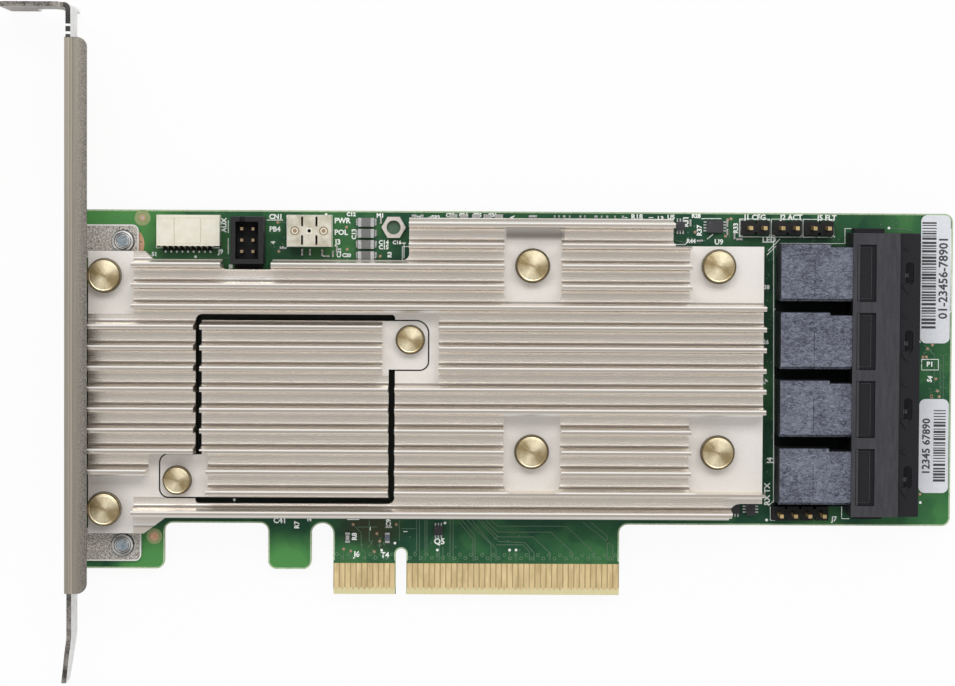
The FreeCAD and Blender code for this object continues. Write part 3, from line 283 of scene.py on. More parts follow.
def growStrips(name, paths, width, height, finish, slotName, level=0.0):
    corners, edges = [], []  # flat strips that follow each path
    for path in paths:
        start = len(corners)
        corners += [spot(x, y, level) for x, y in path]
        edges += [(i, i + 1) for i in range(start, len(corners) - 1)]
    growth = Growth(newPiece(name, corners, [], edges), {"Width": width, "Height": height})
    curve = growth.node("GeometryNodeMeshToCurve", {0: growth.given("Geometry")})
    bar = growth.node("GeometryNodeCurvePrimitiveQuadrilateral", {
        "Width": growth.given("Width"), "Height": growth.given("Height")})
    upright = growth.node("GeometryNodeSetCurveNormal", {0: curve}, mode="Z_UP")
    sweep = growth.node("GeometryNodeCurveToMesh", {
        "Curve": upright, "Profile Curve": bar, "Fill Caps": True})
    return growth.finish(sweep, finish, slotName)


shapeSizes = {"disc": ("Radius", "Height"), "ring": ("Radius", "Wire"),
              "cone": ("Radius", "Top", "Height")}
shapeSteps = {"disc": 20, "ring": 28, "wire": 6, "cone": 14}


def growAt(name, places, level, shape, sizes, finish, slotName):
    piece = newPiece(name, [spot(x, y, level) for x, y in places], [])  # one shape at each
    growth = Growth(piece, dict(zip(shapeSizes[shape], sizes)))
    given, steps = growth.given, shapeSteps[shape]
    if shape == "disc":
        form = growth.node("GeometryNodeMeshCylinder", {
            "Vertices": steps, "Radius": given("Radius"), "Depth": given("Height")})
    elif shape == "ring":
        loop = growth.node("GeometryNodeCurvePrimitiveCircle", {
            "Resolution": steps, "Radius": given("Radius")})
        wire = growth.node("GeometryNodeCurvePrimitiveCircle", {
            "Resolution": shapeSteps["wire"], "Radius": given("Wire")})
        form = growth.node("GeometryNodeCurveToMesh", {
            "Curve": loop, "Profile Curve": wire})
    else:  # a solder cone
        form = growth.node("GeometryNodeMeshCone", {
            "Vertices": steps, "Radius Top": given("Top"), "Radius Bottom": given("Radius"),
            "Depth": given("Height")})
    copies = growth.node("GeometryNodeInstanceOnPoints", {
        "Points": given("Geometry"), "Instance": form})
    return growth.finish(copies, finish, slotName)


def chipSet(name, blocks, finish, slotName, edge=0.06):
    shape = bmesh.new()  # (x, y, z, length, width, height)
    for x, y, z, length, width, height in blocks:
        made = bmesh.ops.create_cube(shape, size=1.0)
        bmesh.ops.scale(shape, verts=made["verts"],
                        vec=(length * mm, width * mm, height * mm))
        bmesh.ops.translate(shape, verts=made["verts"], vec=spot(x, y, z + height / 2))
        edges = {e for v in made["verts"] for e in v.link_edges}
        bmesh.ops.bevel(shape, geom=list(edges), offset=edge * mm, segments=1,
                        affect="EDGES")
    piece = newPiece(name, [], [])
    shape.to_mesh(piece.data)
    shape.free()
    return settle(piece, slotName, finish)


def turnedSet(name, centres, profile, finish, slotName, steps=48):
    corners, faces, local = [], [], []  # (radius, height) turned at each centre
    for x, y, scale in centres:
        start = len(corners)
        for radius, height in profile:
            for step in range(steps):
                angle = 2 * math.pi * step / steps
                side = Vector((math.cos(angle), math.sin(angle), 0)) * radius * scale
                corners.append(spot(x + side.x, y + side.y, height))
                local.append(side)
        last = start + (len(profile) - 1) * steps
        for ring in range(start, last, steps):
            for step in range(steps):
                a, b = ring + step, ring + (step + 1) % steps
                faces.append((a, b, b + steps, a + steps))
        faces.append(tuple(range(last, last + steps)))
        faces.append(tuple(reversed(range(start, start + steps))))
    piece = newPiece(name, corners, faces)
    fromCentre = piece.data.attributes.new("fromCentre", "FLOAT_VECTOR", "POINT")
    for index, value in enumerate(local):
        fromCentre.data[index].vector = value
    return settle(piece, slotName, finish)


def rectangle(x0, y0, x1, y1):
    return [(x0, y0), (x1, y0), (x1, y1), (x0, y1)]


def boxLine(x0, y0, x1, y1):
    return rectangle(x0, y0, x1, y1) + [(x0, y0)]


def sheetSet(name, outlines, level, thick, finish, slotName):
    corners, faces = [], []  # flat outlines given a thickness
    for outline in outlines:
        start, count = len(corners), len(outline)
        corners += [spot(x, y, z) for z in (level, level + thick) for x, y in outline]
        faces.append(tuple(reversed(range(start, start + count))))
        faces.append(tuple(range(start + count, start + 2 * count)))
        for i in range(count):
            a, b = start + i, start + (i + 1) % count
            faces.append((a, b, b + count, a + count))
    return settle(newPiece(name, corners, faces), slotName, finish)


letters = {"fullSize": 1.48, "offset": 0.045, "depth": 0.012}


def printWords(name, words, finish, slotName, level=0.03, mirrored=False):
    corners, faces = [], []  # (text, x, y, height, and a turn in degrees if it has one)
    for text, x, y, size, *turn in words:
        curve = bpy.data.curves.new("word", "FONT")
        curve.body = text
        curve.size = size * mm * letters["fullSize"]
        curve.resolution_u = 2
        curve.offset = letters["offset"] * mm
        curve.extrude = letters["depth"] * mm
        curve.align_x = "CENTER"
        curve.align_y = "CENTER"
        holder = newObject("word", curve)
        mesh = formed(holder)
        turned = Matrix.Rotation(math.radians(sum(turn)), 4, "Z")
        if mirrored:  # reads from the solder side
            turned = Matrix.Rotation(math.pi, 4, "Y") @ turned
        mesh.transform(Matrix.Translation(spot(x, y, level)) @ turned)
        start = len(corners)
        corners += [v.co.copy() for v in mesh.vertices]
        faces += [[start + i for i in f.vertices] for f in mesh.polygons]
        bpy.data.objects.remove(holder)
    return settle(newPiece(name, corners, faces), slotName, finish)


mask = {"base": ((0.008, 0.073, 0.034), (0.084, 0.3, 0.078)),
        "rim": (0.46, 0.54, 0.36), "rust": (0.062, 0.05, 0.022),
        "shadeUnderSink": (0.008, 0.008, 0.006), "sinkX": (13.5, 66.5), "sinkY": (3.2, 38.6),
        "brown": [(54.5, -0.8, 5.5, 0.9), (50, -0.5, 4, 0.5)],
        "glow": [(5, 54, 13, 1.25), (14, -7.0, 8, 1.1), (39, -8, 7, 1.3), (155, 0, 12, 0.4),
                 (155, 27, 8, 0.15), (95, -6.4, 10, 0.25), (72, -6.8, 12, 0.12),
                 (50, -6.5, 5, 0.3), (27, 47, 14, 0.35), (48, 50, 10, 0.4),
                 (123, 26, 5, 0.5), (134, 1, 5, 0.5), (148, 54.5, 7, 0.4), (12, 53, 9, 0.4)]}


def solderMask():
    f = Finish("solderMask")
    front = f.above("z", -0.8)
    cloud = f.grain(0.45, detail=4)
    pour = f.remap(f.grain(0.14, detail=1.0), 0.5, 0.54, 0.0, 0.16)
    weave = (f.grain(2.6, stretch=(1, 0.25, 1), detail=2)
             + f.grain(2.6, stretch=(0.25, 1, 1), detail=2))
    copper = f.patches(mask["glow"]) * front + pour + cloud * 0.3  # close below the mask
    shade = f.mottle(copper, 0.12, 1.1, *mask["base"])
    shade = f.tint(f.patches(mask["brown"]) * front * 0.75, shade, mask["rust"])
    # painted shadow: the board under the small heatsink and in the gap round it is tinted nearly
    # black
    under = f.band("x", *mask["sinkX"]) * f.band("y", *mask["sinkY"]) * f.above("z", -0.2)
    shade = f.tint(under * 0.93, shade, mask["shadeUnderSink"])
    shade = f.mottle(f.facing("z").size(), 0.25, 0.6, mask["rim"], shade)
    return f.set(Base_Color=shade, Roughness=f.remap(cloud, 0.3, 0.7, 0.3, 0.42),
                 Normal=f.bump(weave, 0.2, 0.02), Specular_IOR_Level=0.25)


sink = {"base": ((0.76, 0.68, 0.59), (0.86, 0.775, 0.675)),
        "cloud": (0.79, 0.725, 0.655), "paintedHighlight": (1.0, 0.965, 0.92),
        "paintedShade": (0.35, 0.32, 0.29), "paintedValleyLight": (0.95, 0.93, 0.915),
        "milled": ((0.9, 0.855, 0.81), (0.97, 0.94, 0.9)),
        "firstFin": 2.74, "finPitch": 3.648, "finTop": 12.35, "floor": (5.75, 5.93),
        "foot": (0.172, 0.257), "gap": (0.203, 0.228), "lip": (0.105, 0.165)}  # of a pitch


def extrudedMetal():
    f = Finish("champagneMetal")
    streak = f.grain(1.0, stretch=(0.012, 7, 1.2), detail=4, rough=0.7)
    speckle = f.grain(5.0, detail=5, rough=0.8)
    blotch = f.grain(0.3, stretch=(0.5, 1, 1), detail=3)
    milled = f.band("z", *sink["floor"])
    fins = (f.along("y") - placeOn("y", sink["firstFin"])) * (1 / sink["finPitch"])
    across = f.maths("FRACT", fins + 100.0)  # 0 to 1 over each fin and its gap
    low = f.band("z", 5.95, sink["finTop"])
    # painted shade: a dark band at each fin's foot, with a lighter line inside it
    foot = across.between(*sink["foot"]) * low
    paintedShade = foot * (1.0 - across.between(*sink["gap"]) * 0.55)
    past = across.over(sink["foot"][1]) * low
    # painted highlights: a band past each fin's foot, a bright line beside it, the fin lip and
    # both tip edges
    root = f.remap(across, 0.33, 0.65, 1.0, 0.0) * past
    line = f.remap(across, 0.315, 0.335, 1.0, 0.0) * past
    lip = across.between(*sink["lip"]) * f.above("z", 11.3)
    tip = f.above("z", sink["finTop"])
    edge = tip * f.remap(across, 0.035, 0.055) * across.under(0.3)
    farEdge = tip * f.remap(across, 0.9, 0.93, 1.0, 0.0) * across.over(0.7)
    # the fin tops are painted a little darker (painted shade)
    crown = tip * (across.over(0.935) + across.under(0.045))
    y = f.along("y")
    # painted shadow of the fin above, across the top of the upper pocket's floor
    pocketShadow = (f.band("x", 77.3, 87.6) * f.below("z", 6.2)
              * f.remap(y, placeOn("y", 50.9), placeOn("y", 51.7))
              * f.remap(y, placeOn("y", 52.1), placeOn("y", 52.9), 1.0, 0.35))
    # painted shade on the milled floor near the lower-left corner
    cornerShade = f.near(5.0, 0.5, 9) * milled
    shade = f.mottle(streak, 0.3, 0.7, *sink["base"])
    shade = f.tint(f.remap(blotch, 0.35, 0.7, 0.0, 0.3), shade, sink["cloud"])
    # painted light: each valley is tinted lighter towards the next fin
    paintedValleyLight = f.remap(across, 0.62, 0.7) * f.remap(across, 0.85, 0.88, 1.0, 0.0) * low
    shade = f.tint(paintedValleyLight * 0.85, shade, sink["paintedValleyLight"])
    shade = f.tint(paintedShade * 0.95 + crown * 0.4, shade, sink["paintedShade"])
    bright = root * 0.65 + edge + line + lip * 0.7 + farEdge * 0.6
    shade = f.tint(f.maths("MINIMUM", bright, 1.0), shade, sink["paintedHighlight"])
    rough = f.mottle(speckle, 0.35, 0.65, *sink["milled"])
    shade = f.tint(milled, shade, rough)
    shade = f.tint(pocketShadow * 0.85 + cornerShade * 0.45, shade, sink["paintedShade"])
    # metal is lowered on the milled floors, and where the painted highlights and the painted
    # foot shade lie
    metal = 0.93 + line * 0.07 - (edge + foot + lip * 0.6) * 0.85 - milled * 0.6
    return f.set(Base_Color=shade, Metallic=metal,
                 Roughness=f.remap(streak, 0.3, 0.7, 0.23, 0.3) + milled * 0.25,
                 Normal=f.bump(milled * speckle * 2.0, 0.15, 0.02))


sheet = {"base": ((0.305, 0.272, 0.228), (0.395, 0.357, 0.298)),
         "ear": ((0.17, 0.15, 0.13), (0.8, 0.76, 0.7)),
         "cut": ((0.045, 0.04, 0.037), (0.34, 0.31, 0.28)),
         "side": ((0.8, 0.79, 0.78), (0.96, 0.96, 0.95)),
         "shadedSide": ((0.26, 0.235, 0.21), (0.6, 0.565, 0.53)),
         "outer": (0.13, 0.12, 0.118), "fold": (0.7, 0.645, 0.555),
         "neck": (0.02, 0.018, 0.017), "nick": (0.95, 0.95, 0.95),
         "tabFrom": 86.05, "tipBelow": -11.6, "nicks": ((86.7, 87.15), (88.1, 88.5))}


def sheetMetal():
    f = Finish("bracketSheet")
    streak = f.grain(1.2, stretch=(5, 0.05, 5), detail=4, rough=0.65)
    grit = f.grain(4, detail=5, rough=0.8)
    cloud = f.grain(0.5, detail=3)
    ears = f.above("x", 1.35) * f.below("z", 1.0)  # blasted
    # painted shade with the sheet's speckle: past the bend, from 1.6 to 3.6 mm off the face, the
    # sheet is tinted darker in specks
    outer = f.remap(f.along("x"), placeOn("x", 1.6), placeOn("x", 3.6))
    shade = f.mottle(streak, 0.3, 0.7, *sheet["base"])
    shade = f.tint(outer * f.remap(grit, 0.4, 0.58), shade, sheet["outer"])
    # painted highlight: a lighter band along the bend
    shade = f.tint(f.band("x", 0.8, 1.3) * 0.85, shade, sheet["fold"])
    shade = f.tint(ears, shade, f.mottle(grit, 0.42, 0.58, *sheet["ear"]))
    bare = f.above("y", sheet["tabFrom"]) + f.below("y", sheet["tipBelow"])
    cutEdge = f.mottle(grit * 0.5 + cloud * 0.5, 0.42, 0.58, *sheet["cut"])
    # painted light and shade by facing: the side faces of the bare tab and tip are near white,
    # and those facing -Y are tinted darker
    side = f.mottle(cloud, 0.35, 0.65, *sheet["side"])
    shadedSide = f.mottle(grit, 0.4, 0.6, *sheet["shadedSide"])
    side = f.tint(f.facing("y").under(-0.5), side, shadedSide)
    neck = f.above("x", -0.4) * f.along("y").over(0.0)
    nick = f.band("y", *sheet["nicks"][0]) + f.band("y", *sheet["nicks"][1])
    # painted shade: the neck's cut edge is tinted nearly black
    cutEdge = f.tint(neck * 0.8, cutEdge, sheet["neck"])
    cutEdge = f.tint(neck * nick, cutEdge, sheet["nick"])
    shade = f.tint(bare, shade, f.tint(f.facing("z").over(0.5), side, cutEdge))
    return f.set(Base_Color=shade, Metallic=0.75 - bare * 0.45,
                 Roughness=f.remap(grit, 0.3, 0.7, 0.34, 0.46),
                 Normal=f.bump(streak * 0.5 + grit * (ears * 1.5 + 0.4), 0.3, 0.03))


def turnedBrass():
    f = Finish("turnedBrass")
    blotch = f.grain(0.9, detail=4, rough=0.6)
    grit = f.grain(7, detail=3)
    shade = f.mottle(blotch, 0.35, 0.65, (0.4, 0.315, 0.175), (0.62, 0.52, 0.33))
    return f.set(Base_Color=shade, Metallic=0.92, Roughness=f.remap(grit, 0.3, 0.7, 0.26, 0.44),
                 Normal=f.bump(grit, 0.3, 0.03))


def facedMetal(name, dark, light, turn, ringPitch):  # fine rings left by the turning tool, and a painted hourglass sheen (painted reflection) turned by the turn angle
    f = Finish(name)
    local = f.node("ShaderNodeAttribute", out=1, attribute_name="fromCentre")
    angle = f.maths("ARCTAN2", f.part(local, "y"), f.part(local, "x"))
    radius = f.vector("LENGTH", local, out=1)
    paintedSheen = f.maths("COSINE", (angle - turn) * 2.0)
    ring = f.maths("SINE", radius * (6.283 / ringPitch))
    heading = f.vector("NORMALIZE", local)
    spoke = f.node("ShaderNodeTexNoise", {"Vector": heading, "Scale": 2.6, "Detail": 4.0})
    fleck = f.grain(1.3, detail=4)
    level = (paintedSheen * 0.5 * f.remap(radius, 0.1, 1.2, 0.3, 1.0) + ring * 0.05
             + (spoke - 0.5) * 0.8 + fleck * 0.5 + 0.22 - f.remap(radius, 0.5, 0.0) * 0.4)
    return f.set(Base_Color=f.mottle(level, 0.0, 1.0, dark, light), Metallic=0.9,
                 Roughness=f.remap(fleck, 0.3, 0.7, 0.3, 0.4),
                 Normal=f.bump(ring, 0.25, 0.015))


def brightSteel():
    f = Finish("platedSteel")
    grit = f.grain(4, detail=4)
    shade = f.mottle(grit, 0.35, 0.65, (0.3, 0.31, 0.31), (0.66, 0.67, 0.66))
    return f.set(Base_Color=shade, Metallic=0.9, Roughness=f.remap(grit, 0.3, 0.7, 0.24, 0.4),
                 Normal=f.bump(grit, 0.25, 0.02))


def goldPlate(name, light, dark):
    f = Finish(name)
    wear = f.grain(1.4, stretch=(1, 0.2, 1), detail=4)
    return f.set(Base_Color=f.mottle(wear, 0.3, 0.7, dark, light), Metallic=0.75,
                 Roughness=f.remap(wear, 0.3, 0.7, 0.3, 0.45), Normal=f.bump(wear, 0.1, 0.02))


def mottledShell():
    f = Finish("mottledShell")
    curl = f.grain(0.78, stretch=(1, 1.4, 1), detail=8, rough=0.74, swirl=1.3)
    brush = f.grain(2.6, stretch=(0.55, 1.6, 1), detail=4, rough=0.7, swirl=1.6)
    fibre = (f.grain(1.6, stretch=(0.8, 1.3, 1), detail=3, rough=0.6, swirl=2.6) - 0.5).size()
    vein = f.remap(fibre, 0.0, 0.03, 1.0, 0.0)
    shade = f.mottle(curl * 0.4 + brush * 0.45 + f.grain(0.16) * 0.15, 0.42, 0.58,
                     (0.02, 0.023, 0.04), (0.225, 0.24, 0.31))
    shade = f.tint(vein * f.remap(brush, 0.4, 0.65) * 0.6, shade, (0.36, 0.38, 0.45))
    # painted shade: every face but the top is tinted near black
    shade = f.tint(f.facing("z").over(0.5), (0.026, 0.027, 0.034), shade)
    return f.set(Base_Color=shade, Roughness=0.55, Specular_IOR_Level=0.35,
                 Normal=f.bump(curl + brush * 0.5, 0.4, 0.05))


def blackMoulding(name, level, gloss=0.3):
    f = Finish(name)
    grit = f.grain(5, detail=4, rough=0.7)
    cloud = f.grain(0.4, detail=2)
    shade = f.mottle(cloud * 0.6 + grit * 0.6, 0.45, 0.8, level,
                     tuple(c * 1.45 for c in level))
    return f.set(Base_Color=shade, Roughness=f.remap(grit, 0.3, 0.7, 0.42, 0.55),
                 Specular_IOR_Level=gloss, Normal=f.bump(grit, 0.2, 0.02))


def housingMoulding():
    f = Finish("portMoulding")
    grit = f.grain(5, detail=4, rough=0.7)
    weave = f.grain(1.6, stretch=(1, 0.15, 1), detail=3)
    sunkShade = f.below("z", 11.15)  # windows, slots and the lower step, tinted darker as painted shade
    shade = f.mottle(weave * 0.5 + grit * 0.5, 0.38, 0.62, (0.04, 0.04, 0.047),
                     (0.064, 0.064, 0.072))
    shade = f.tint(sunkShade * f.remap(grit, 0.3, 0.7, 0.85, 1.0), shade, (0.01, 0.0095, 0.013))
    return f.set(Base_Color=shade, Roughness=f.remap(grit, 0.3, 0.7, 0.42, 0.55),
                 Specular_IOR_Level=0.22, Normal=f.bump(grit, 0.25, 0.02))


def ivoryMoulding(name, dark, light):
    f = Finish(name)
    cloud = f.grain(0.5, detail=3)
    grit = f.grain(9, detail=2)
    return f.set(Base_Color=f.mottle(cloud, 0.35, 0.65, dark, light), Roughness=0.42,
                 Specular_IOR_Level=0.35, Normal=f.bump(grit, 0.12, 0.02))


def whiteInk():
    f = Finish("whiteInk")
    wear = f.grain(5, detail=4)
    shade = f.mottle(wear, 0.36, 0.56, (0.78, 0.84, 0.78), (0.97, 0.98, 0.96))
    # the ink glows a little: painted light that keeps print and dots bright in shade
    return f.set(Base_Color=shade, Roughness=0.6, Emission_Color=shade, Emission_Strength=0.14)


def tongueFace():
    f = Finish("bareTongue")
    cloud = f.grain(2.0, stretch=(1, 0.3, 1), detail=3)
    down = f.remap(f.along("y"), placeOn("y", -11.35), placeOn("y", -11.6))
    resin = f.tint(cloud, (0.37, 0.27, 0.12), (0.47, 0.36, 0.18))
    bevel = f.tint(cloud, (0.72, 0.64, 0.34), (0.82, 0.75, 0.45))
    return f.set(Base_Color=f.tint(down, resin, bevel), Roughness=0.5)


def plainShade(name, dark, light, roughness=0.5, metal=0.0, scale=5, gloss=0.5):
    f = Finish(name)
    grit = f.grain(scale, detail=3)
    return f.set(Base_Color=f.mottle(grit, 0.3, 0.7, dark, light), Roughness=roughness,
                 Metallic=metal, Specular_IOR_Level=gloss, Normal=f.bump(grit, 0.12, 0.02))


finishes.update({
    "mask": solderMask(), "metal": extrudedMetal(), "sheet": sheetMetal(),
    "brass": turnedBrass(), "steel": brightSteel(), "shell": mottledShell(),
    "cap": facedMetal("facedBrass", (0.36, 0.27, 0.135), (0.94, 0.83, 0.58), 1.1, 0.22),
    "screwFace": facedMetal("facedSteel", (0.34, 0.34, 0.33), (0.8, 0.8, 0.78), 0.4, 0.3),
    "fingers": goldPlate("fingerGold", (0.92, 0.73, 0.4), (0.76, 0.57, 0.29)),
    "pins": goldPlate("pinGold", (0.72, 0.54, 0.26), (0.36, 0.25, 0.11)),
    "black": blackMoulding("blackMoulding", (0.014, 0.0135, 0.014), 0.22),
    "deepBlack": blackMoulding("deepBlack", (0.02, 0.019, 0.021), 0.2),
    "chip": blackMoulding("chipResin", (0.042, 0.042, 0.047)),
    "portBlack": housingMoulding(),
    "ivory": ivoryMoulding("ivoryMoulding", (0.88, 0.845, 0.7), (0.95, 0.925, 0.81)),
    "keyIvory": ivoryMoulding("keyIvory", (0.56, 0.52, 0.41), (0.8, 0.765, 0.65)),
    "ink": whiteInk(), "bare": tongueFace()})
plainShades = {  # name, dark, light, roughness, metal, grain, gloss
    "tin": ("tinned", (0.38, 0.39, 0.39), (0.68, 0.69, 0.68), 0.35, 0.8, 4),
    "ceramic": ("firedCeramic", (0.16, 0.16, 0.155), (0.23, 0.228, 0.222), 0.4),
    "smallPart": ("smallPartBody", (0.42, 0.4, 0.36), (0.6, 0.58, 0.53), 0.45),
    "blueChip": ("blueBody", (0.1, 0.13, 0.22), (0.16, 0.2, 0.3), 0.4),
    "paper": ("labelPaper", (0.8, 0.82, 0.87), (0.87, 0.89, 0.93), 0.5, 0.0, 1.5),
    "inkBlack": ("labelInk", (0.03, 0.03, 0.035), (0.07, 0.07, 0.075), 0.6),
    "pad": ("gapPad", (0.3, 0.32, 0.34), (0.4, 0.42, 0.44), 0.7),
    "substrate": ("packageBase", (0.03, 0.12, 0.06), (0.05, 0.16, 0.08), 0.4),
    "lid": ("packageLid", (0.45, 0.46, 0.47), (0.6, 0.61, 0.62), 0.3, 0.9),
    "trace": ("maskedCopper", (0.065, 0.15, 0.08), (0.1, 0.2, 0.115), 0.38),
    "rim": ("maskRim", (0.34, 0.47, 0.27), (0.56, 0.68, 0.44), 0.5, 0.0, 2),
    "brassEdge": ("brassEdge", (0.12, 0.09, 0.045), (0.22, 0.17, 0.09), 0.4, 0.5, 4),
    "earEdge": ("brightEdge", (0.8, 0.79, 0.76), (0.95, 0.94, 0.92), 0.4, 0.1, 3),
    "viaRing": ("maskedRing", (0.12, 0.23, 0.13), (0.2, 0.34, 0.2), 0.4),
    "copper": ("bareCopper", (0.36, 0.22, 0.14), (0.6, 0.4, 0.28), 0.4, 0.4, 4),
    "orange": ("clearedCopper", (0.62, 0.33, 0.19), (0.76, 0.46, 0.31), 0.5, 0.1, 3),
    "halo": ("clearedMask", (0.27, 0.34, 0.13), (0.38, 0.44, 0.2), 0.5, 0.0, 3),
    "brown": ("agedContact", (0.3, 0.2, 0.11), (0.44, 0.32, 0.19), 0.45, 0.2, 6),
    # near black: painted shade in most marks that use it, and the real seams on the port blocks
    "dark": ("darkRecess", (0.01, 0.01, 0.011), (0.02, 0.02, 0.022), 0.7, 0.0, 5, 0.1),
    "blueSteel": ("recessSteel", (0.2, 0.25, 0.29), (0.46, 0.53, 0.58), 0.3, 0.5, 2),
    "shadow": ("deepGap", (0.006, 0.009, 0.008), (0.012, 0.015, 0.014), 0.8, 0.0, 5, 0.1),
    "postTin": ("postTin", (0.62, 0.55, 0.5), (0.82, 0.77, 0.72), 0.35, 0.5, 3),
    # pale grey: painted highlights in the windows and latch slots, and the real dots on the
    # small chips
    "glintAndMark": ("paleMouldMark", (0.075, 0.075, 0.085), (0.11, 0.11, 0.12), 0.5),
    "wedge": ("mouldFace", (0.012, 0.012, 0.015), (0.02, 0.02, 0.024), 0.6, 0.0, 5, 0.2),
}
for key, values in plainShades.items():
    finishes[key] = plainShade(*values)
nodeFinishes = {
    "mask": "circuit_board", "fingers": "edge_contacts_front edge_contacts_back",
    "sheet": "bracket", "metal": "main_heatsink small_heatsink",
    "brass": "main_push_pins small_push_pins", "steel": "bracket_screws pin_springs",
    "shell": "port_block_1 port_block_2 port_block_3 port_block_4",
    "portBlack": "port_housing", "black": "jumper_bases service_header_base",
    "deepBlack": "shrouded_header", "chip": "small_chips memory_chips",
    "ivory": "power_connector", "keyIvory": "key_socket",
    # the shrouded header's gold pins take the brown contact colour: painted shade deep in the
    # shroud
    "pins": "jumper_pins service_header_pins", "brown": "shrouded_header_pins key_socket_pins",
    "tin": "power_connector_leads capacitor_ends small_chip_leads",
    "postTin": "board_post", "ceramic": "capacitor_bodies", "paper": "labels",
    "pad": "controller_thermal_pad expander_thermal_pad",
    "substrate": "controller_substrate expander_substrate",
    "lid": "controller_lid expander_lid",
}
for finish, names in nodeFinishes.items():
    for name in names.split():
        mesh = nodes[name].data
        mesh.materials.clear()
        mesh.materials.append(finishes[finish])
print("finishes on every node")

rims = {"board": 0.27, "ear": 0.24, "lift": 0.012, "earLevel": 0.86}


def makeRim(name, node, level, up, width, finish, slotName):
    rim = bmesh.new()  # a thin line just inside a flat face
    rim.from_mesh(nodes[node].data)
    bmesh.ops.remove_doubles(rim, verts=rim.verts, dist=1e-6)
    drop = [f for f in rim.faces if f.normal.z * up < 0.9
            or abs(f.calc_center_median().z - spot(0, 0, level).z) > 2e-5]
    bmesh.ops.delete(rim, geom=drop, context="FACES")
    bmesh.ops.dissolve_limit(rim, angle_limit=0.01, verts=rim.verts, edges=rim.edges)
    made = bmesh.ops.inset_region(rim, faces=rim.faces[:], use_boundary=True,
                                  use_even_offset=True, thickness=width * mm)
    ring = set(made["faces"])
    bmesh.ops.delete(rim, geom=[f for f in rim.faces if f not in ring], context="FACES")
    bmesh.ops.translate(rim, verts=rim.verts, vec=(0, 0, rims["lift"] * up * mm))
    piece = newPiece(name, [], [])
    rim.to_mesh(piece.data)
    rim.free()
    print(name, len(piece.data.polygons), "faces")
    return settle(piece, slotName, finish)


def makeRims():  # painted highlights just inside the cut edges of the board and the bracket ears, where the edges catch the light
    makeRim("boardRimFront", "circuit_board", 0, 1, rims["board"], "rim", "laminate")
    makeRim("boardRimBack", "circuit_board", backLevel, -1, rims["board"], "rim", "laminate")
    makeRim("earRim", "bracket", rims["earLevel"], 1, rims["ear"], "earEdge", "zinc_sheet")


tracks = [
    (74.93, 0.72, 76.2, -0.35, 88.58, -0.3, 93.64, -5.32, 93.66, -7.05),
    (74.04, 0.72, 76.2, -1.43, 85.72, -1.39, 89.69, -5.16, 89.7, -7.07),
    (73.14, 0.71, 76.21, -2.3, 82.49, -2.27, 85.56, -5.18, 85.57, -7.09),
    (72.6, 0.71, 76.39, -3.13, 81.06, -3.29, 82.69, -5.19, 82.7, -7.1),
    (75.86, -3.74, 80.7, -3.72, 81.86, -4.94, 81.87, -7.1),
    (71.52, 0.71, 75.86, -4.5, 75.87, -7.13), (70.7, 0.7, 74.96, -3.67, 74.98, -7.13),
    (69.73, 0.7, 72.08, -2.1, 72.1, -7.15), (69.19, 0.33, 71.72, -2.54, 71.74, -7.15),
    (61.58, 0.66, 61.61, -4.92, 61.22, -5.28), (62.09, 0.66, 62.12, -7.19),
    (63.09, 0.67, 63.13, -7.19), (63.45, 0.67, 63.48, -5.63), (67.58, 0.69, 67.61, -7.17),
    (68.11, 0.69, 68.15, -7.16), (65.69, -2.38, 65.71, -7.17), (66.34, -4.18, 66.36, -7.17),
    (65.27, -4.73, 65.28, -7.18), (78.3, -4.67, 78.32, -7.12), (79.45, -4.66, 79.47, -7.11),
    (91.45, 0.44, 96.87, -3.86, 96.89, -7.04), (92.89, 0.44, 95.85, -2.07, 95.88, -7.04),
    (50.93, -0.63, 54.53, -0.61), (58.86, -0.88, 61.38, -0.87), (58.49, 0.56, 58.51, -3.06),
    (48.5, -4.62, 48.51, -7.08), (49.79, -4.97, 49.8, -7.07), (54.01, -5.06, 54.02, -7.05),
    (54.98, -3.18, 54.98, -4.34, 55.7, -5.24, 55.71, -7.05),
    (50.21, -0.2, 51.65, -1.64, 51.67, -4.53, 52.39, -5.25, 52.4, -7.06),
    (53.09, 0.54, 53.1, -3.08, 53.64, -3.62), (107.59, 51.09, 109.57, 50.56, 112.27, 50.58),
    (115.83, 54.37, 117.28, 52.94, 117.29, 51.5), (36.38, 53.88, 37.99, 53.88),
    (22.76, 47.42, 33.52, 47.48), (145.7, 53.29, 147.85, 53.3, 150, 52.95),
    (152.38, 32.54, 154.19, 30.76, 154.25, 25.37), (155.29, 28.97, 155.36, 22.86),
    (155.81, 30.76, 155.9, 22.86),
]
dots = {"size": (0.26, 0.06), "paleSize": (0.24, 0.08), "level": 0.02, "copper": [
    (50.21, -0.2), (54.47, -1.81), (54.98, -3.18), (48.5, -4.62), (49.79, -4.97), (54.01, -5.06),
    (57.95, -0.17), (36.55, 53.88), (36.75, 48.75), (48.82, 53.12), (48.95, 49.17),
    (54.87, 47.95), (116.98, 54.8), (116.64, 51.86), (111.17, 52.55), (151.95, 5.72),
    (153.85, 23.42), (155.2, 23.28), (151.49, 48.13), (151.5, 46.7), (151.55, 42.04),
    (151.59, 38.99), (151.75, 33.61), (153.88, 32.55), (154.6, 26.45), (154.91, 24.3),
    (153.84, 23.21), (152.22, 30.39), (153.03, 31.9), (152.83, 30.39), (96.96, 54.73),
    (103.25, 54.55), (117.56, 54.97),
], "pale": [
    (66.68, 0.14), (65.34, -4.73), (78.3, -4.67), (79.45, -4.66), (57.71, -3.53), (55.34, -4.81),
    (152.03, 4.22), (145.87, 53.47), (105.79, 51.98), (21.87, 47.7), (45.16, 55.36),
    (124.44, 0.94), (28.89, 4.15),
]}
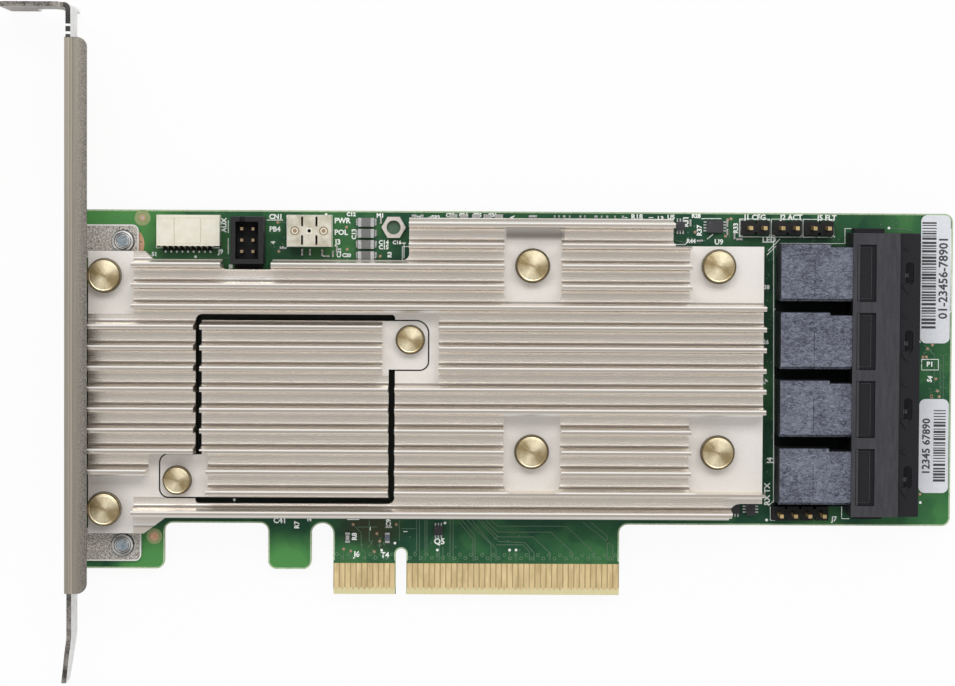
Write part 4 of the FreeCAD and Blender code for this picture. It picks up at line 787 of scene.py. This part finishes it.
vias = {"seed": 4, "level": 0.01, "size": (0.15, 0.04), "areas": [
    (3, 49.4, 26, 55.2, 16), (35, 47.8, 50, 55.2, 26), (107, 50.6, 119, 55.2, 34),
    (47.2, -6.5, 57, -1.6, 26), (60, -6.6, 97, -1.6, 20), (151, 23.4, 156.6, 32.4, 24),
    (150.6, 2, 151.5, 52, 26), (124, 4, 125.4, 50, 30), (125, 51, 137, 52, 16),
    (143, 54, 150, 55.4, 8)]}


def makeTracks():
    growStrips("maskedTracks", [pairs(row) for row in tracks], 0.2, 0.05, "trace",
               "laminate")
    growAt("copperDots", dots["copper"], dots["level"], "disc", dots["size"], "copper", "gold")
    growAt("tinnedDots", dots["pale"], dots["level"], "disc", dots["paleSize"], "ink", "tin")
    holes = random.Random(vias["seed"])
    strewn = [(holes.uniform(x0, x1), holes.uniform(y0, y1))
              for x0, y0, x1, y1, count in vias["areas"] for _ in range(count)]
    growAt("platedVias", strewn, vias["level"], "disc", vias["size"], "trace", "laminate")


pads = {"fiducial": (12.38, 54.6), "ring": (14.56, -2.47), "ear": (9.45, 49.9)}


def makePads():
    fiducial, ringPad = pads["fiducial"], pads["ring"]
    for name, places, level, size, finish, slotName in (
            ("clearedRounds", [fiducial, ringPad], 0.01, (1.42, 0.03), "halo", "laminate"),
            ("earCopper", [pads["ear"]], 0.01, (3.3, 0.03), "orange", "gold"),
            ("fiducialCopper", [fiducial], 0.03, (0.52, 0.04), "orange", "gold"),
            ("ringPadCopper", [ringPad], 0.03, (0.8, 0.04), "orange", "gold"),
            ("fiducialCentre", [fiducial], 0.05, (0.25, 0.04), "tin", "tin")):
        growAt(name, places, level, "disc", size, finish, slotName)


tongue = {"mask": -6.66, "gold": -7.13, "end": -11.46, "point": -11.95, "edge": -12.72,
          "left": 46.72, "keyLeft": 57.76, "keyRight": 59.82, "right": 97.96,
          "halfFinger": 0.4, "viaRows": (-5.55, -6.17)}
fingerStarts = [46.87 + step for step in range(11)] + [59.97 + step for step in range(38)]


def makeTongue():
    t, half = tongue, tongue["halfFinger"]
    sides = [(t["left"], t["keyLeft"]), (t["keyRight"], t["right"])]
    sheetSet("tongueResin", [rectangle(a, t["edge"], b, t["gold"] + 0.1) for a, b in sides],
             0.0, 0.02, "bare", "laminate")
    sheetSet("tongueResinBack", [rectangle(a, t["edge"], b, t["end"]) for a, b in sides],
             backLevel - 0.02, 0.02, "bare", "laminate")
    sheetSet("maskLip", [rectangle(a + 0.02, t["gold"], b - 0.02, t["mask"])
                         for a, b in sides], 0.02, 0.05, "mask", "laminate")
    sheetSet("fingerTips", [[(x, t["end"]), (x + half, t["point"]), (x + 2 * half, t["end"])]
                            for x in fingerStarts], 0.015, 0.03, "fingers", "gold")
    growAt("fingerVias", [(x + half, t["viaRows"][step % 2])
                          for step, x in enumerate(fingerStarts)], 0.03, "ring",
           (0.27, 0.06), "viaRing", "laminate")


screenLines = [
    (125.22, 51.75, 125.66, 4.01),
    (126.38, 50.58, 138.02, 50.64, 137.99, 53.32, 143.37, 53.35, 143.37, 52.74),
    (125.3, 50.32, 126.37, 51.4), (124.07, 48.52, 126.02, 50.5), (124.24, 49.24, 125.66, 50.68),
    (125.41, 38.68, 126.41, 39.65), (125.52, 26.85, 126.52, 27.82), (125.55, 4.25, 124.72, 3.53),
    (137.89, 3.56, 137.92, 1.25, 139.27, 1.25), (125.08, 3.35, 125.1, 0.89, 125.94, 0.89),
    (119.62, 54.76, 119.22, 54.76, 119.25, 51.97, 119.65, 51.97),
    (124.1, 54.78, 124.5, 54.79, 124.53, 52.1),
    (125.44, 54.52, 125.04, 54.52, 125.07, 52, 125.47, 52),
    (129.81, 54.55, 130.21, 54.55, 130.23, 52.13), (131.26, 54.55, 130.82, 54.55, 130.83, 53.03),
    (135.52, 54.62, 135.92, 54.62, 135.94, 52.16, 136.17, 51.72),
    (38.16, 55.18, 46.27, 55.22, 46.29, 49.62, 38.18, 49.58, 38.16, 55.18),
    (34.58, 54.3, 37.45, 54.31), (58.82, 47.25, 58.81, 49.69, 60, 49.7),
    (27.7, 54.26, 27.7, 51.93), (27.7, 51.03, 27.71, 48.16),
    (14.87, 49.6, 14.87, 49.24, 26.17, 49.3), (112.23, 54.96, 115.82, 54.98),
    (102.82, 55.09, 103.68, 55.09), (98.5, 55.07, 99.01, 55.07),
    (107.6, 50.3, 109.39, 50.31, 109.93, 50.93), (114.41, 52.21, 113.34, 51.3),
    (59.11, 50.48, 59.12, 47.61), (58.39, 50.3, 59.47, 50.3), (60.52, 54.36, 63.39, 54.38),
    (49.13, 0.7, 51.29, 0.71), (53.27, -0.55, 53.27, -1.27), (59.22, -1.43, 59.94, -1.42),
    (156.62, 53.7, 156.98, 53.35, 157.15, 38.66, 156.8, 38.12),
    (151.97, 29.96, 152, 28.05, 155.01, 28.07, 154.99, 29.97, 151.97, 29.96),
    (151.64, 33.97, 151.65, 32.9), (50.94, 54.53, 50.72, 54.53, 50.72, 53.59, 50.94, 53.59),
    (53.95, 54.54, 54.16, 54.54, 54.17, 53.61, 53.95, 53.61),
    (50.94, 52.55, 50.73, 52.55, 50.73, 51.62, 50.95, 51.62),
    (53.96, 52.57, 54.17, 52.57, 54.18, 51.64, 53.96, 51.64),
    (50.95, 50.58, 50.74, 50.58, 50.74, 49.65, 50.95, 49.65),
    (53.96, 50.6, 54.18, 50.6, 54.18, 49.67, 53.97, 49.66),
    (50.96, 48.61, 50.74, 48.61, 50.75, 47.67, 50.96, 47.67),
    (53.97, 48.62, 54.19, 48.62, 54.19, 47.69, 53.98, 47.69),
]
screenWords = [
    ("C41", 37.06, 0.43, 0.93), ("R7", 40.13, -0.32, 0.82, 90), ("14", 42.28, 0.63, 0.57),
    ("R8", 50.47, -2.37, 0.82, 90), ("C9", 56.58, 0.12, 0.79, 90), ("J6", 50.88, -5.58, 0.93),
    ("T4", 55.92, -5.71, 0.93), ("Q5", 65.69, -3.21, 1), ("AUX", 26.98, 53.36, 0.82, 90),
    ("J9", 26.35, 48.59, 0.79), ("J8", 28.15, 45.94, 0.64), ("CN1", 36.19, 54.88, 0.82),
    ("PB4", 36.02, 52.66, 0.86), ("4", 35.74, 50.29, 0.71, 90), ("5", 37.39, 49.36, 0.75, 90),
    ("PWR", 48.07, 54.23, 0.89), ("POL", 47.86, 52.14, 0.89), ("J3", 47.29, 50.42, 0.89),
    ("C12", 49.64, 55.38, 0.64), ("M1", 54.84, 55.19, 0.71), ("C13", 50.19, 51.87, 0.75, 90),
    ("C21", 47.51, 48.55, 0.71, 90), ("C20", 48.84, 48.06, 0.61), ("C14", 55.47, 50.39, 0.71),
    ("C16", 57.84, 50.4, 0.61), ("C15", 55.48, 49.53, 0.71), ("R3", 56.56, 48.24, 0.64, 90),
    ("51", 14.52, 48.09, 0.68), ("C31", 61.78, 54.8, 0.68), ("C32", 64.65, 54.89, 0.68),
    ("C33", 67.34, 55.33, 0.61), ("C34", 69.67, 55.34, 0.61), ("C35", 72.18, 55.36, 0.61),
    ("C36", 74.87, 55.37, 0.61), ("A", 78.47, 54.96, 0.71, 90), ("R18", 100.73, 55.19, 0.89),
    ("L3", 104.97, 54.92, 0.75), ("U5", 106.84, 55.18, 0.75), ("R31", 109.54, 54.41, 0.82, 90),
    ("R28", 111.33, 55.42, 0.68), ("R37", 111.96, 52.84, 0.82, 90), ("U9", 115.43, 50.77, 0.89),
    ("R44", 110.47, 50.93, 0.68), ("LED", 124.42, 51.21, 0.96), ("J1 CFG", 121.86, 55.22, 0.89),
    ("J2 ACT", 128.35, 55.25, 0.89), ("J5 FLT", 134.73, 55.18, 0.89),
    ("R33", 118.47, 53.3, 0.79, 90), ("38", 124.06, 42.73, 0.71), ("26", 124, 32.91, 0.71),
    ("14", 123.92, 25.81, 0.68, 45), ("RX TX", 124.52, 5.6, 0.93, 90),
    ("J4", 124.94, 11.69, 0.96, 90), ("J7", 136.57, 1.15, 0.82), ("S4", 153.52, 26.44, 0.79, 80),
    ("P1", 153.49, 29.07, 0.82),
]
jumperBoxes = {"starts": [119.24, 124.93, 130.62], "length": 5.08, "margin": 0.14,
               "low": 51.75, "high": 54.95}


def makeScreenPrint():
    j = jumperBoxes
    boxes = [boxLine(a - j["margin"], j["low"], a + j["length"] + j["margin"], j["high"])
             for a in j["starts"]]
    growStrips("jumperBoxes", boxes, 0.16, 0.02, "ink", "laminate", 0.02)
    growStrips("printedLines", [pairs(row) for row in screenLines], 0.15, 0.02, "ink",
               "laminate", 0.02)
    printWords("printedWords", screenWords, "ink", "laminate")


smallParts = {
    "topRow": [67.9, 69.85, 71.95, 74.0, 76.05], "topY": 55.15, "paleY": 55.2,
    "strewn": [  # x, y, turned
        (116.9, 54.1, 1), (116.9, 52.6, 1), (119.1, 51.3, 0), (112.0, 51.0, 0),
        (110.3, 54.2, 1), (118.2, 51.9, 1), (64.0, 54.9, 0), (40.9, 48.6, 1), (42.3, 48.6, 1),
        (37.6, 49.3, 0), (44.5, 48.5, 1), (47.1, 49.2, 1), (54.95, 54.35, 1), (56.6, -0.6, 0),
        (46.4, 48.3, 1), (45.2, 47.9, 0)],
    "pale": [  # x, length
        (60.9, 0.9), (62.3, 0.6), (82.1, 1.5), (86.0, 0.3), (86.8, 0.3), (87.7, 0.5),
        (88.7, 0.3), (90.6, 0.4), (91.4, 0.3), (93.4, 0.6), (94.4, 0.3), (95.4, 0.4),
        (96.8, 0.3), (98.2, 0.4)],
    "capRows": (54.0, 52.05, 50.05, 48.1),
    "chipDots": [(113.7, 54.2), (107.98, 54.1), (65.0, -0.72), (118.3, 3.4), (121.0, 3.7)]}


def makeSmallParts():
    bodies, ends = [], []
    topY, capRows = smallParts["topY"], smallParts["capRows"]
    for x in smallParts["topRow"]:
        bodies.append((x, topY, 0.0, 0.8, 0.8, 0.5))
        ends += [(x + side, topY, 0.0, 0.35, 0.82, 0.52) for side in (-0.55, 0.55)]
    for x, y, turned in smallParts["strewn"]:
        size = (0.35, 0.6) if turned else (0.6, 0.35)
        bodies.append((x, y, 0.0, *size, 0.35))
        for side in (-0.42, 0.42):
            dx, dy = (0, side) if turned else (side, 0)
            ends.append((x + dx, y + dy, 0.0, 0.36, 0.36, 0.37))
    pale = [(x, smallParts["paleY"], 0.0, length, 0.45, 0.4)
            for x, length in smallParts["pale"]]
    chipSet("smallPartBodies", bodies, "smallPart", "ceramic_brown")
    chipSet("smallPartEnds", ends, "tin", "tin", 0.04)
    chipSet("paleParts", pale, "tin", "tin", 0.05)
    chipSet("capFillets", [(x, y, 0.0, 0.42, 1.3, 0.35) for x in (50.68, 53.98)
                           for y in capRows], "tin", "tin", 0.12)
    chipSet("capFaces", [(52.34, y, 1.5, 1.1, 1.15, 0.03) for y in capRows],
            "ceramic", "ceramic_brown", 0.01)
    chipSet("tongueParts", [(49.22, -2.52, 0.6, 0.5, 0.8, 0.04)], "tin", "tin", 0.01)
    chipSet("tongueBlue", [(56.36, -2.52, 0.6, 0.6, 0.8, 0.04)], "blueChip",
            "ceramic_brown", 0.01)
    growAt("chipDots", smallParts["chipDots"], 1.1, "disc", (0.14, 0.03), "glintAndMark",
           "mould_black")


pins = {"main": [(6.32, 44.45), (6.32, 3.12), (81.95, 46.55), (114.89, 46.55),
                 (81.95, 13.6), (114.89, 13.6)], "small": [(60.385, 33.37), (19.225, 8.29)],
        "screws": [(9.0, 50.45), (9.0, -3.9)], "capTop": 8.9, "smallCap": 0.83,
        "shadowRingLevel": 7.62}


def makePinCaps():
    top, screws = pins["capTop"], pins["screws"]
    centres = ([(*place, 1.0) for place in pins["main"]]
               + [(*place, pins["smallCap"]) for place in pins["small"]])
    profile = [(2.72, top - 0.02), (2.7, top + 0.05), (2.6, top + 0.09), (2.46, top + 0.05),
               (2.37, top + 0.09), (1.2, top + 0.12), (0.2, top + 0.13)]
    turnedSet("pinCaps", centres, profile, "cap", "brass")
    level = pins["shadowRingLevel"]
    # painted shade: a dark brass ring at the rim of each main pin head, where its bevel reflects
    # dark
    growAt("capGrooves", pins["main"], top, "ring", (2.86, 0.11), "brassEdge", "brass")
    # painted shadow: thin near-black rings round the push-pin heads
    growAt("capOutlines", pins["main"], level, "ring", (3.05, 0.045), "dark", "brass")
    growAt("smallCapOutlines", pins["small"], level, "ring", (2.55, 0.06), "dark", "brass")
    rim = extent("bracket_screws")[1].z
    turned = [(*place, 1.0) for place in screws]
    face = [(1.86, rim - 0.05), (1.8, rim + 0.03), (1.58, rim + 0.05), (1.48, rim),
            (1.36, rim + 0.05), (1.22, rim + 0.05)]
    recess = [(1.12, rim + 0.045), (1.05, rim + 0.07), (0.3, rim + 0.06)]
    turnedSet("screwFaces", turned, face, "screwFace", "screw_steel")
    turnedSet("screwRecesses", turned, recess, "blueSteel", "screw_steel", 6)
    # painted shade: near-black rings round the screw heads and at the steps of their faces
    for name, level, size in (("screwRingOuter", 0.9, (1.98, 0.08)),
                              ("screwRingMiddle", rim + 0.02, (1.48, 0.05)),
                              ("screwRingInner", rim + 0.03, (1.15, 0.06))):
        growAt(name, screws, level, "ring", size, "dark", "screw_steel")


connectors = {"firstTooth": 16.03, "firstLead": 16.53, "ways": (39.81, 42.355, 44.9),
              "wayY": 52.48, "post": (57.25, 53.13)}


def makeConnectorDetails():
    low, high = extent("power_connector")
    top = high.z - 0.02
    leads = [connectors["firstLead"] + step for step in range(9)]
    ridge = [(20.75, low.y + 2.55, top, 4.6, 4.3, 0.1),
             (17.05, low.y + 2.45, top, 2.6, 4.1, 0.06),
             (24.55, low.y + 2.45, top, 2.6, 4.1, 0.06),
             (20.83, high.y - 0.28, top, 10.9, 0.5, 0.12)]
    chipSet("connectorRidges", ridge, "ivory", "ivory", 0.03)
    chipSet("connectorTeeth", [(connectors["firstTooth"] + step, low.y + 0.05, 1.2, 0.42, 0.5,
                                1.6) for step in range(10)], "ivory", "ivory", 0.05)
    chipSet("connectorShade", [(x, low.y - 0.42, 0.3, 0.74, 0.92, 0.9) for x in leads],
            "dark", "ivory", 0.02)
    # the solder joints below the leads are white glowing ink: painted highlights
    growAt("leadSolder", [(x, low.y - 1.15) for x in leads], 0.1, "disc", (0.17, 0.12),
           "ink", "tin")
    roof = extent("key_socket")[1].z
    ways = [(x, connectors["wayY"]) for x in connectors["ways"]]
    chipSet("wayPlates", [(x, y, roof - 0.7, 1.9, 1.9, 0.66) for x, y in ways],
            "ivory", "ivory", 0.08)
    growAt("contactRings", ways[::2], roof - 0.04, "ring", (0.7, 0.12), "brown", "pin_gold")
    growAt("contactDiscs", ways[::2], roof - 0.02, "disc", (0.36, 0.08), "brown", "pin_gold")
    # painted shade: a black disc in the empty middle way
    growAt("middleHole", [ways[1]], roof - 0.03, "disc", (0.32, 0.06), "dark", "ivory")
    growAt("postFloor", [connectors["post"]], 0.02, "disc", (1.2, 0.04), "trace", "laminate")


ports = {"seamX": 131.55, "blockX": 131.9, "firstY": 4.6, "pitch": 12.0}


def makePortDetails():
    seams, frames, inner, marks, wedges = [], [], [], [], []
    for number in range(4):
        low = extent("port_block_%d" % (number + 1))[0]
        seams.append([(ports["seamX"], low.y + 0.9), (ports["seamX"], low.y + 7.0)])
        y = ports["firstY"] + ports["pitch"] * number
        frames.append(boxLine(139.0, y + 0.1, 141.85, y + 10.0))
        inner.append(boxLine(139.35, y + 0.5, 141.5, y + 9.6))
        marks += [[(147.5 + 0.25 * step, y + 4.3), (147.5 + 0.25 * step, y + 5.0)]
                  for step in range(3)]
        wedges += [[(146.9, y + 3.0), (148.1, y + 1.2), (148.3, y + 3.4)],
                   [(147.0, y + 9.6), (148.0, y + 8.9), (147.9, y + 9.8)]]
    # dark webs between the blocks: partly the black base, partly painted shadow in the gaps
    webs = [(ports["blockX"], 15.6 + ports["pitch"] * step, 0.02, 12.6, 2.3, 2.2)
            for step in range(3)] + [(ports["blockX"], 3.9, 0.02, 12.6, 0.7, 1.2)]
    shell, roof = extent("port_block_1")[1].z, extent("port_housing")[1].z
    growStrips("shellSeams", seams, 0.07, 0.03, "dark", "port_shell", shell)
    chipSet("portWebs", webs, "shadow", "port_black", 0.1)
    # painted shade lines along the window edges, and painted highlights inside the windows and
    # in the latch slots
    for name, paths, width, height, finish, level in (
            ("windowLines", frames, 0.12, 0.03, "dark", roof),
            ("windowInner", inner, 0.07, 0.03, "glintAndMark", roof - 0.42),
            ("latchMarks", marks, 0.1, 0.04, "glintAndMark", roof - 0.75)):
        growStrips(name, paths, width, height, finish, "port_black", level)
    # painted reflections: faint lighter triangles beside the latch slots
    sheetSet("mouldWedges", wedges, roof - 0.5, 0.02, "wedge", "port_black")


labelRows = {"bars": [(154.25, 8.0, 156.4, 21.0), (151.85, 35.5, 154.4, 54.6)],
             "digits": [("12345 67890", 153.0, 14.3, 1.3, 90),
                        ("01-23456-78901", 155.75, 44.6, 1.5, 90)],
             "widths": (0.18, 0.18, 0.3, 0.42), "gaps": (0.17, 0.2, 0.34), "seed": 12}


def makeLabels():
    top = extent("labels")[1].z
    dice = random.Random(labelRows["seed"])
    bars = []
    for x0, y, x1, y1 in labelRows["bars"]:
        while y < y1:
            wide = dice.choice(labelRows["widths"])
            bars.append(rectangle(x0, y, x1, y + wide))
            y += wide + dice.choice(labelRows["gaps"])
    sheetSet("labelBars", bars, top, 0.015, "inkBlack", "label_paper")
    printWords("labelDigits", labelRows["digits"], "inkBlack", "label_paper", top + 0.01)


back = {"partRows": [(32, 13, 5, 5, 3.4), (92, 24, 5, 5, 3.4), (67, 8, 2, 8, 3.6)],
        "seed": 8, "vias": 260, "legPitch": 0.8,
        "headers": [120.51, 123.05, 126.2, 128.74, 131.89, 134.43],
        "chips": [(24.0, 40.0, 6.0, 5.0), (75.0, 46.5, 5.0, 5.0), (108.0, 9.5, 7.0, 7.0)],
        "words": [("A1", 30.0, 31.5, 1.2), ("B2", 90.0, 42.5, 1.2),
                  ("U12", 24.0, 36.0, 1.1), ("U14", 75.0, 42.2, 1.1),
                  ("U7", 108.0, 4.6, 1.1), ("SIDE B", 140.0, 28.0, 1.6, 90),
                  ("C101", 40.0, 4.5, 1.0), ("R210", 66.0, 40.2, 1.0)]}


def makeBackJoints():
    joints = [(x, 53.4) for x in back["headers"]]
    joints += [(126.38 + 2.54 * step, 2.35) for step in range(4)]
    joints += [(x, connectors["wayY"]) for x in connectors["ways"]]
    growAt("backJoints", joints, backLevel - 0.22, "cone", (0.32, 0.85, 0.45), "tin", "tin")
    portJoints = [(126.9 + 1.1 * column, 5.2 + ports["pitch"] * block + 1.1 * row)
                  for block in range(4) for column in range(8) for row in range(9)]
    growAt("portJoints", portJoints, backLevel - 0.08, "cone", (0.18, 0.4, 0.2), "tin", "tin")
    dice = random.Random(back["seed"])
    strewn = [(dice.uniform(14, 121), dice.uniform(2, 53)) for _ in range(back["vias"])]
    growAt("backVias", strewn, backLevel - 0.01, "disc", (0.22, 0.04), "copper", "gold")


def makeBackParts():
    bodies, ends, lines, legs = [], [], [], []
    for x0, y0, columns, rows, pitch in back["partRows"]:
        for x in [x0 + column * pitch for column in range(columns)]:
            for y in [y0 + row * pitch for row in range(rows)]:
                bodies.append((x, y, backLevel - 0.5, 1.0, 0.8, 0.5))
                ends += [(x + side, y, backLevel - 0.5, 0.35, 0.82, 0.5)
                         for side in (-0.65, 0.65)]
        lines.append(boxLine(x0 - 1.6, y0 - 1.4, x0 + (columns - 1) * pitch + 1.6,
                             y0 + (rows - 1) * pitch + 1.4))
    chipSet("backPartBodies", bodies, "smallPart", "ceramic_brown")
    chipSet("backPartEnds", ends, "tin", "tin", 0.04)
    chips = [(x, y, backLevel - 1.0, wide, tall, 0.95) for x, y, wide, tall in back["chips"]]
    chipSet("backChips", chips + [(46.5, 44.5, backLevel - 0.9, 4.0, 3.0, 0.85)],
            "chip", "mould_black", 0.12)
    for x, y, wide, tall in back["chips"]:
        count = int(tall / back["legPitch"])
        for step in range(count):
            offset = (step - (count - 1) / 2) * back["legPitch"]
            legs += [(x + side * (wide / 2 + 0.35), y + offset, backLevel - 0.25, 0.9, 0.32,
                      0.25) for side in (-1, 1)]
    chipSet("backChipLegs", legs, "tin", "tin", 0.04)
    growStrips("backPrintedLines", lines, 0.16, 0.02, "ink", "laminate", backLevel - 0.02)


def makeBackTracks():
    paths = []
    for step in range(9):
        x = 70.0 + step * 2.9
        paths.append([(x, -7.0), (x, -1.5 + 0.3 * step), (x + 4, 2.5 + 0.3 * step),
                      (x + 4, 9.0 + 0.6 * step)])
    for step in range(7):
        x, y = 98.0 + step * 1.4, 16.0 + step * 1.1
        paths.append([(111.0, y), (118.0, y + 3), (124.5, y + 3)])
        paths.append([(x, 41.0), (x, 44.0 + step * 0.5), (104.0 + step * 1.4, 49.0)])
    growStrips("backTracks", paths, 0.22, 0.05, "trace", "laminate", backLevel)
    printWords("backPrintedWords", back["words"], "ink", "laminate", backLevel - 0.02,
               mirrored=True)


makeRims()
makeTracks()
makePads()
makeTongue()
print("board surface made")
makeScreenPrint()
makeSmallParts()
print("printing and small parts made")
makePinCaps()
makeConnectorDetails()
makePortDetails()
makeLabels()
print("connectors, caps and labels made")
makeBackJoints()
makeBackParts()
makeBackTracks()
print("solder side made")

stage = {"floorSize": 3.0, "floorLevel": 0.96, "floorGlow": 0.93, "skyLevel": 0.66,
         "overheadLevel": 0.5, "overhead": (0.93, 0.985), "lampPlace": (0.02, 0.4, 0.92),
         "lampWidth": 0.8, "lampDepth": 0.26, "lampPower": 3.4}
camera = {"tilt": (2.544, -0.517, 0.3076), "aim": (72.34, 32.5), "distance": 0.62,
          "focal": 3462.7 / 955, "sensor": 36}


def makeStage():
    size, low = stage["floorSize"], cadBox[0][2]
    corners = [(x, y, low) for x, y in rectangle(-size, -size, size, size)]
    floor = newPiece("floor", corners, [(0, 1, 2, 3)])
    f = Finish("paleFloor")
    f.set(Base_Color=(stage["floorLevel"],) * 3, Roughness=0.9, Specular_IOR_Level=0.0)
    seen = f.blend(f.ray("Camera") * stage["floorGlow"], Flow(f, f.shader.outputs[0]),
                   f.node("ShaderNodeEmission"))
    f.join(f.tree.nodes["Material Output"].inputs[0], seen)
    floor.data.materials.append(f.material)


def makeSky():  # even studio sky, calmer right overhead
    world = bpy.data.worlds.new("studio")
    bpy.context.scene.world = world
    world.use_nodes = True
    sky = Tree(world.node_tree)
    way = sky.node("ShaderNodeTexCoord", out="Generated")
    height = sky.node("ShaderNodeSeparateXYZ", {0: way}, 2)
    level = sky.remap(height, *stage["overhead"], stage["skyLevel"], stage["overheadLevel"])
    plain = sky.tree.nodes["Background"]
    sky.join(plain.inputs[0], (1, 1, 1))
    sky.join(plain.inputs[1], level)
    white = sky.node("ShaderNodeBackground", {0: (1, 1, 1), 1: 1.0})
    straight = sky.maths("MAXIMUM", sky.ray("Camera"), sky.ray("Transmission"))
    sky.join(sky.tree.nodes["World Output"].inputs[0],
             sky.blend(straight, Flow(sky, plain.outputs[0]), white))


def addLamp():
    data = bpy.data.lights.new("key", "AREA")
    data.shape = "RECTANGLE"
    data.size = stage["lampWidth"]
    data.size_y = stage["lampDepth"]
    data.energy = stage["lampPower"]
    lamp = newObject("key", data)
    lamp.location = stage["lampPlace"]
    aim = Vector((0, 0, 0)) - lamp.location
    lamp.rotation_euler = aim.to_track_quat("-Z", "Y").to_euler()


def placeCamera():
    tiltX, tiltY, roll = [math.radians(turn) for turn in camera["tilt"]]
    away = Vector((math.sin(tiltY), math.sin(tiltX) * math.cos(tiltY),
                   math.cos(tiltX) * math.cos(tiltY)))
    up = (Vector((0, 1, 0)) - away.y * away).normalized()
    right = up.cross(away)
    side = right * math.cos(roll) + up * math.sin(roll)
    top = -right * math.sin(roll) + up * math.cos(roll)
    data = bpy.data.cameras.new("camera")
    data.sensor_width = camera["sensor"]
    data.lens = camera["sensor"] * camera["focal"]
    data.clip_start = 0.01
    viewer = newObject("camera", data)
    turn = Matrix((side, top, away)).transposed().to_4x4()
    place = spot(*camera["aim"]) + away * camera["distance"]
    viewer.matrix_world = Matrix.Translation(place) @ turn
    bpy.context.scene.camera = viewer


makeStage()
makeSky()
addLamp()
placeCamera()
bpy.context.scene.view_settings.view_transform = "Standard"
print("stage, lamps and camera placed")
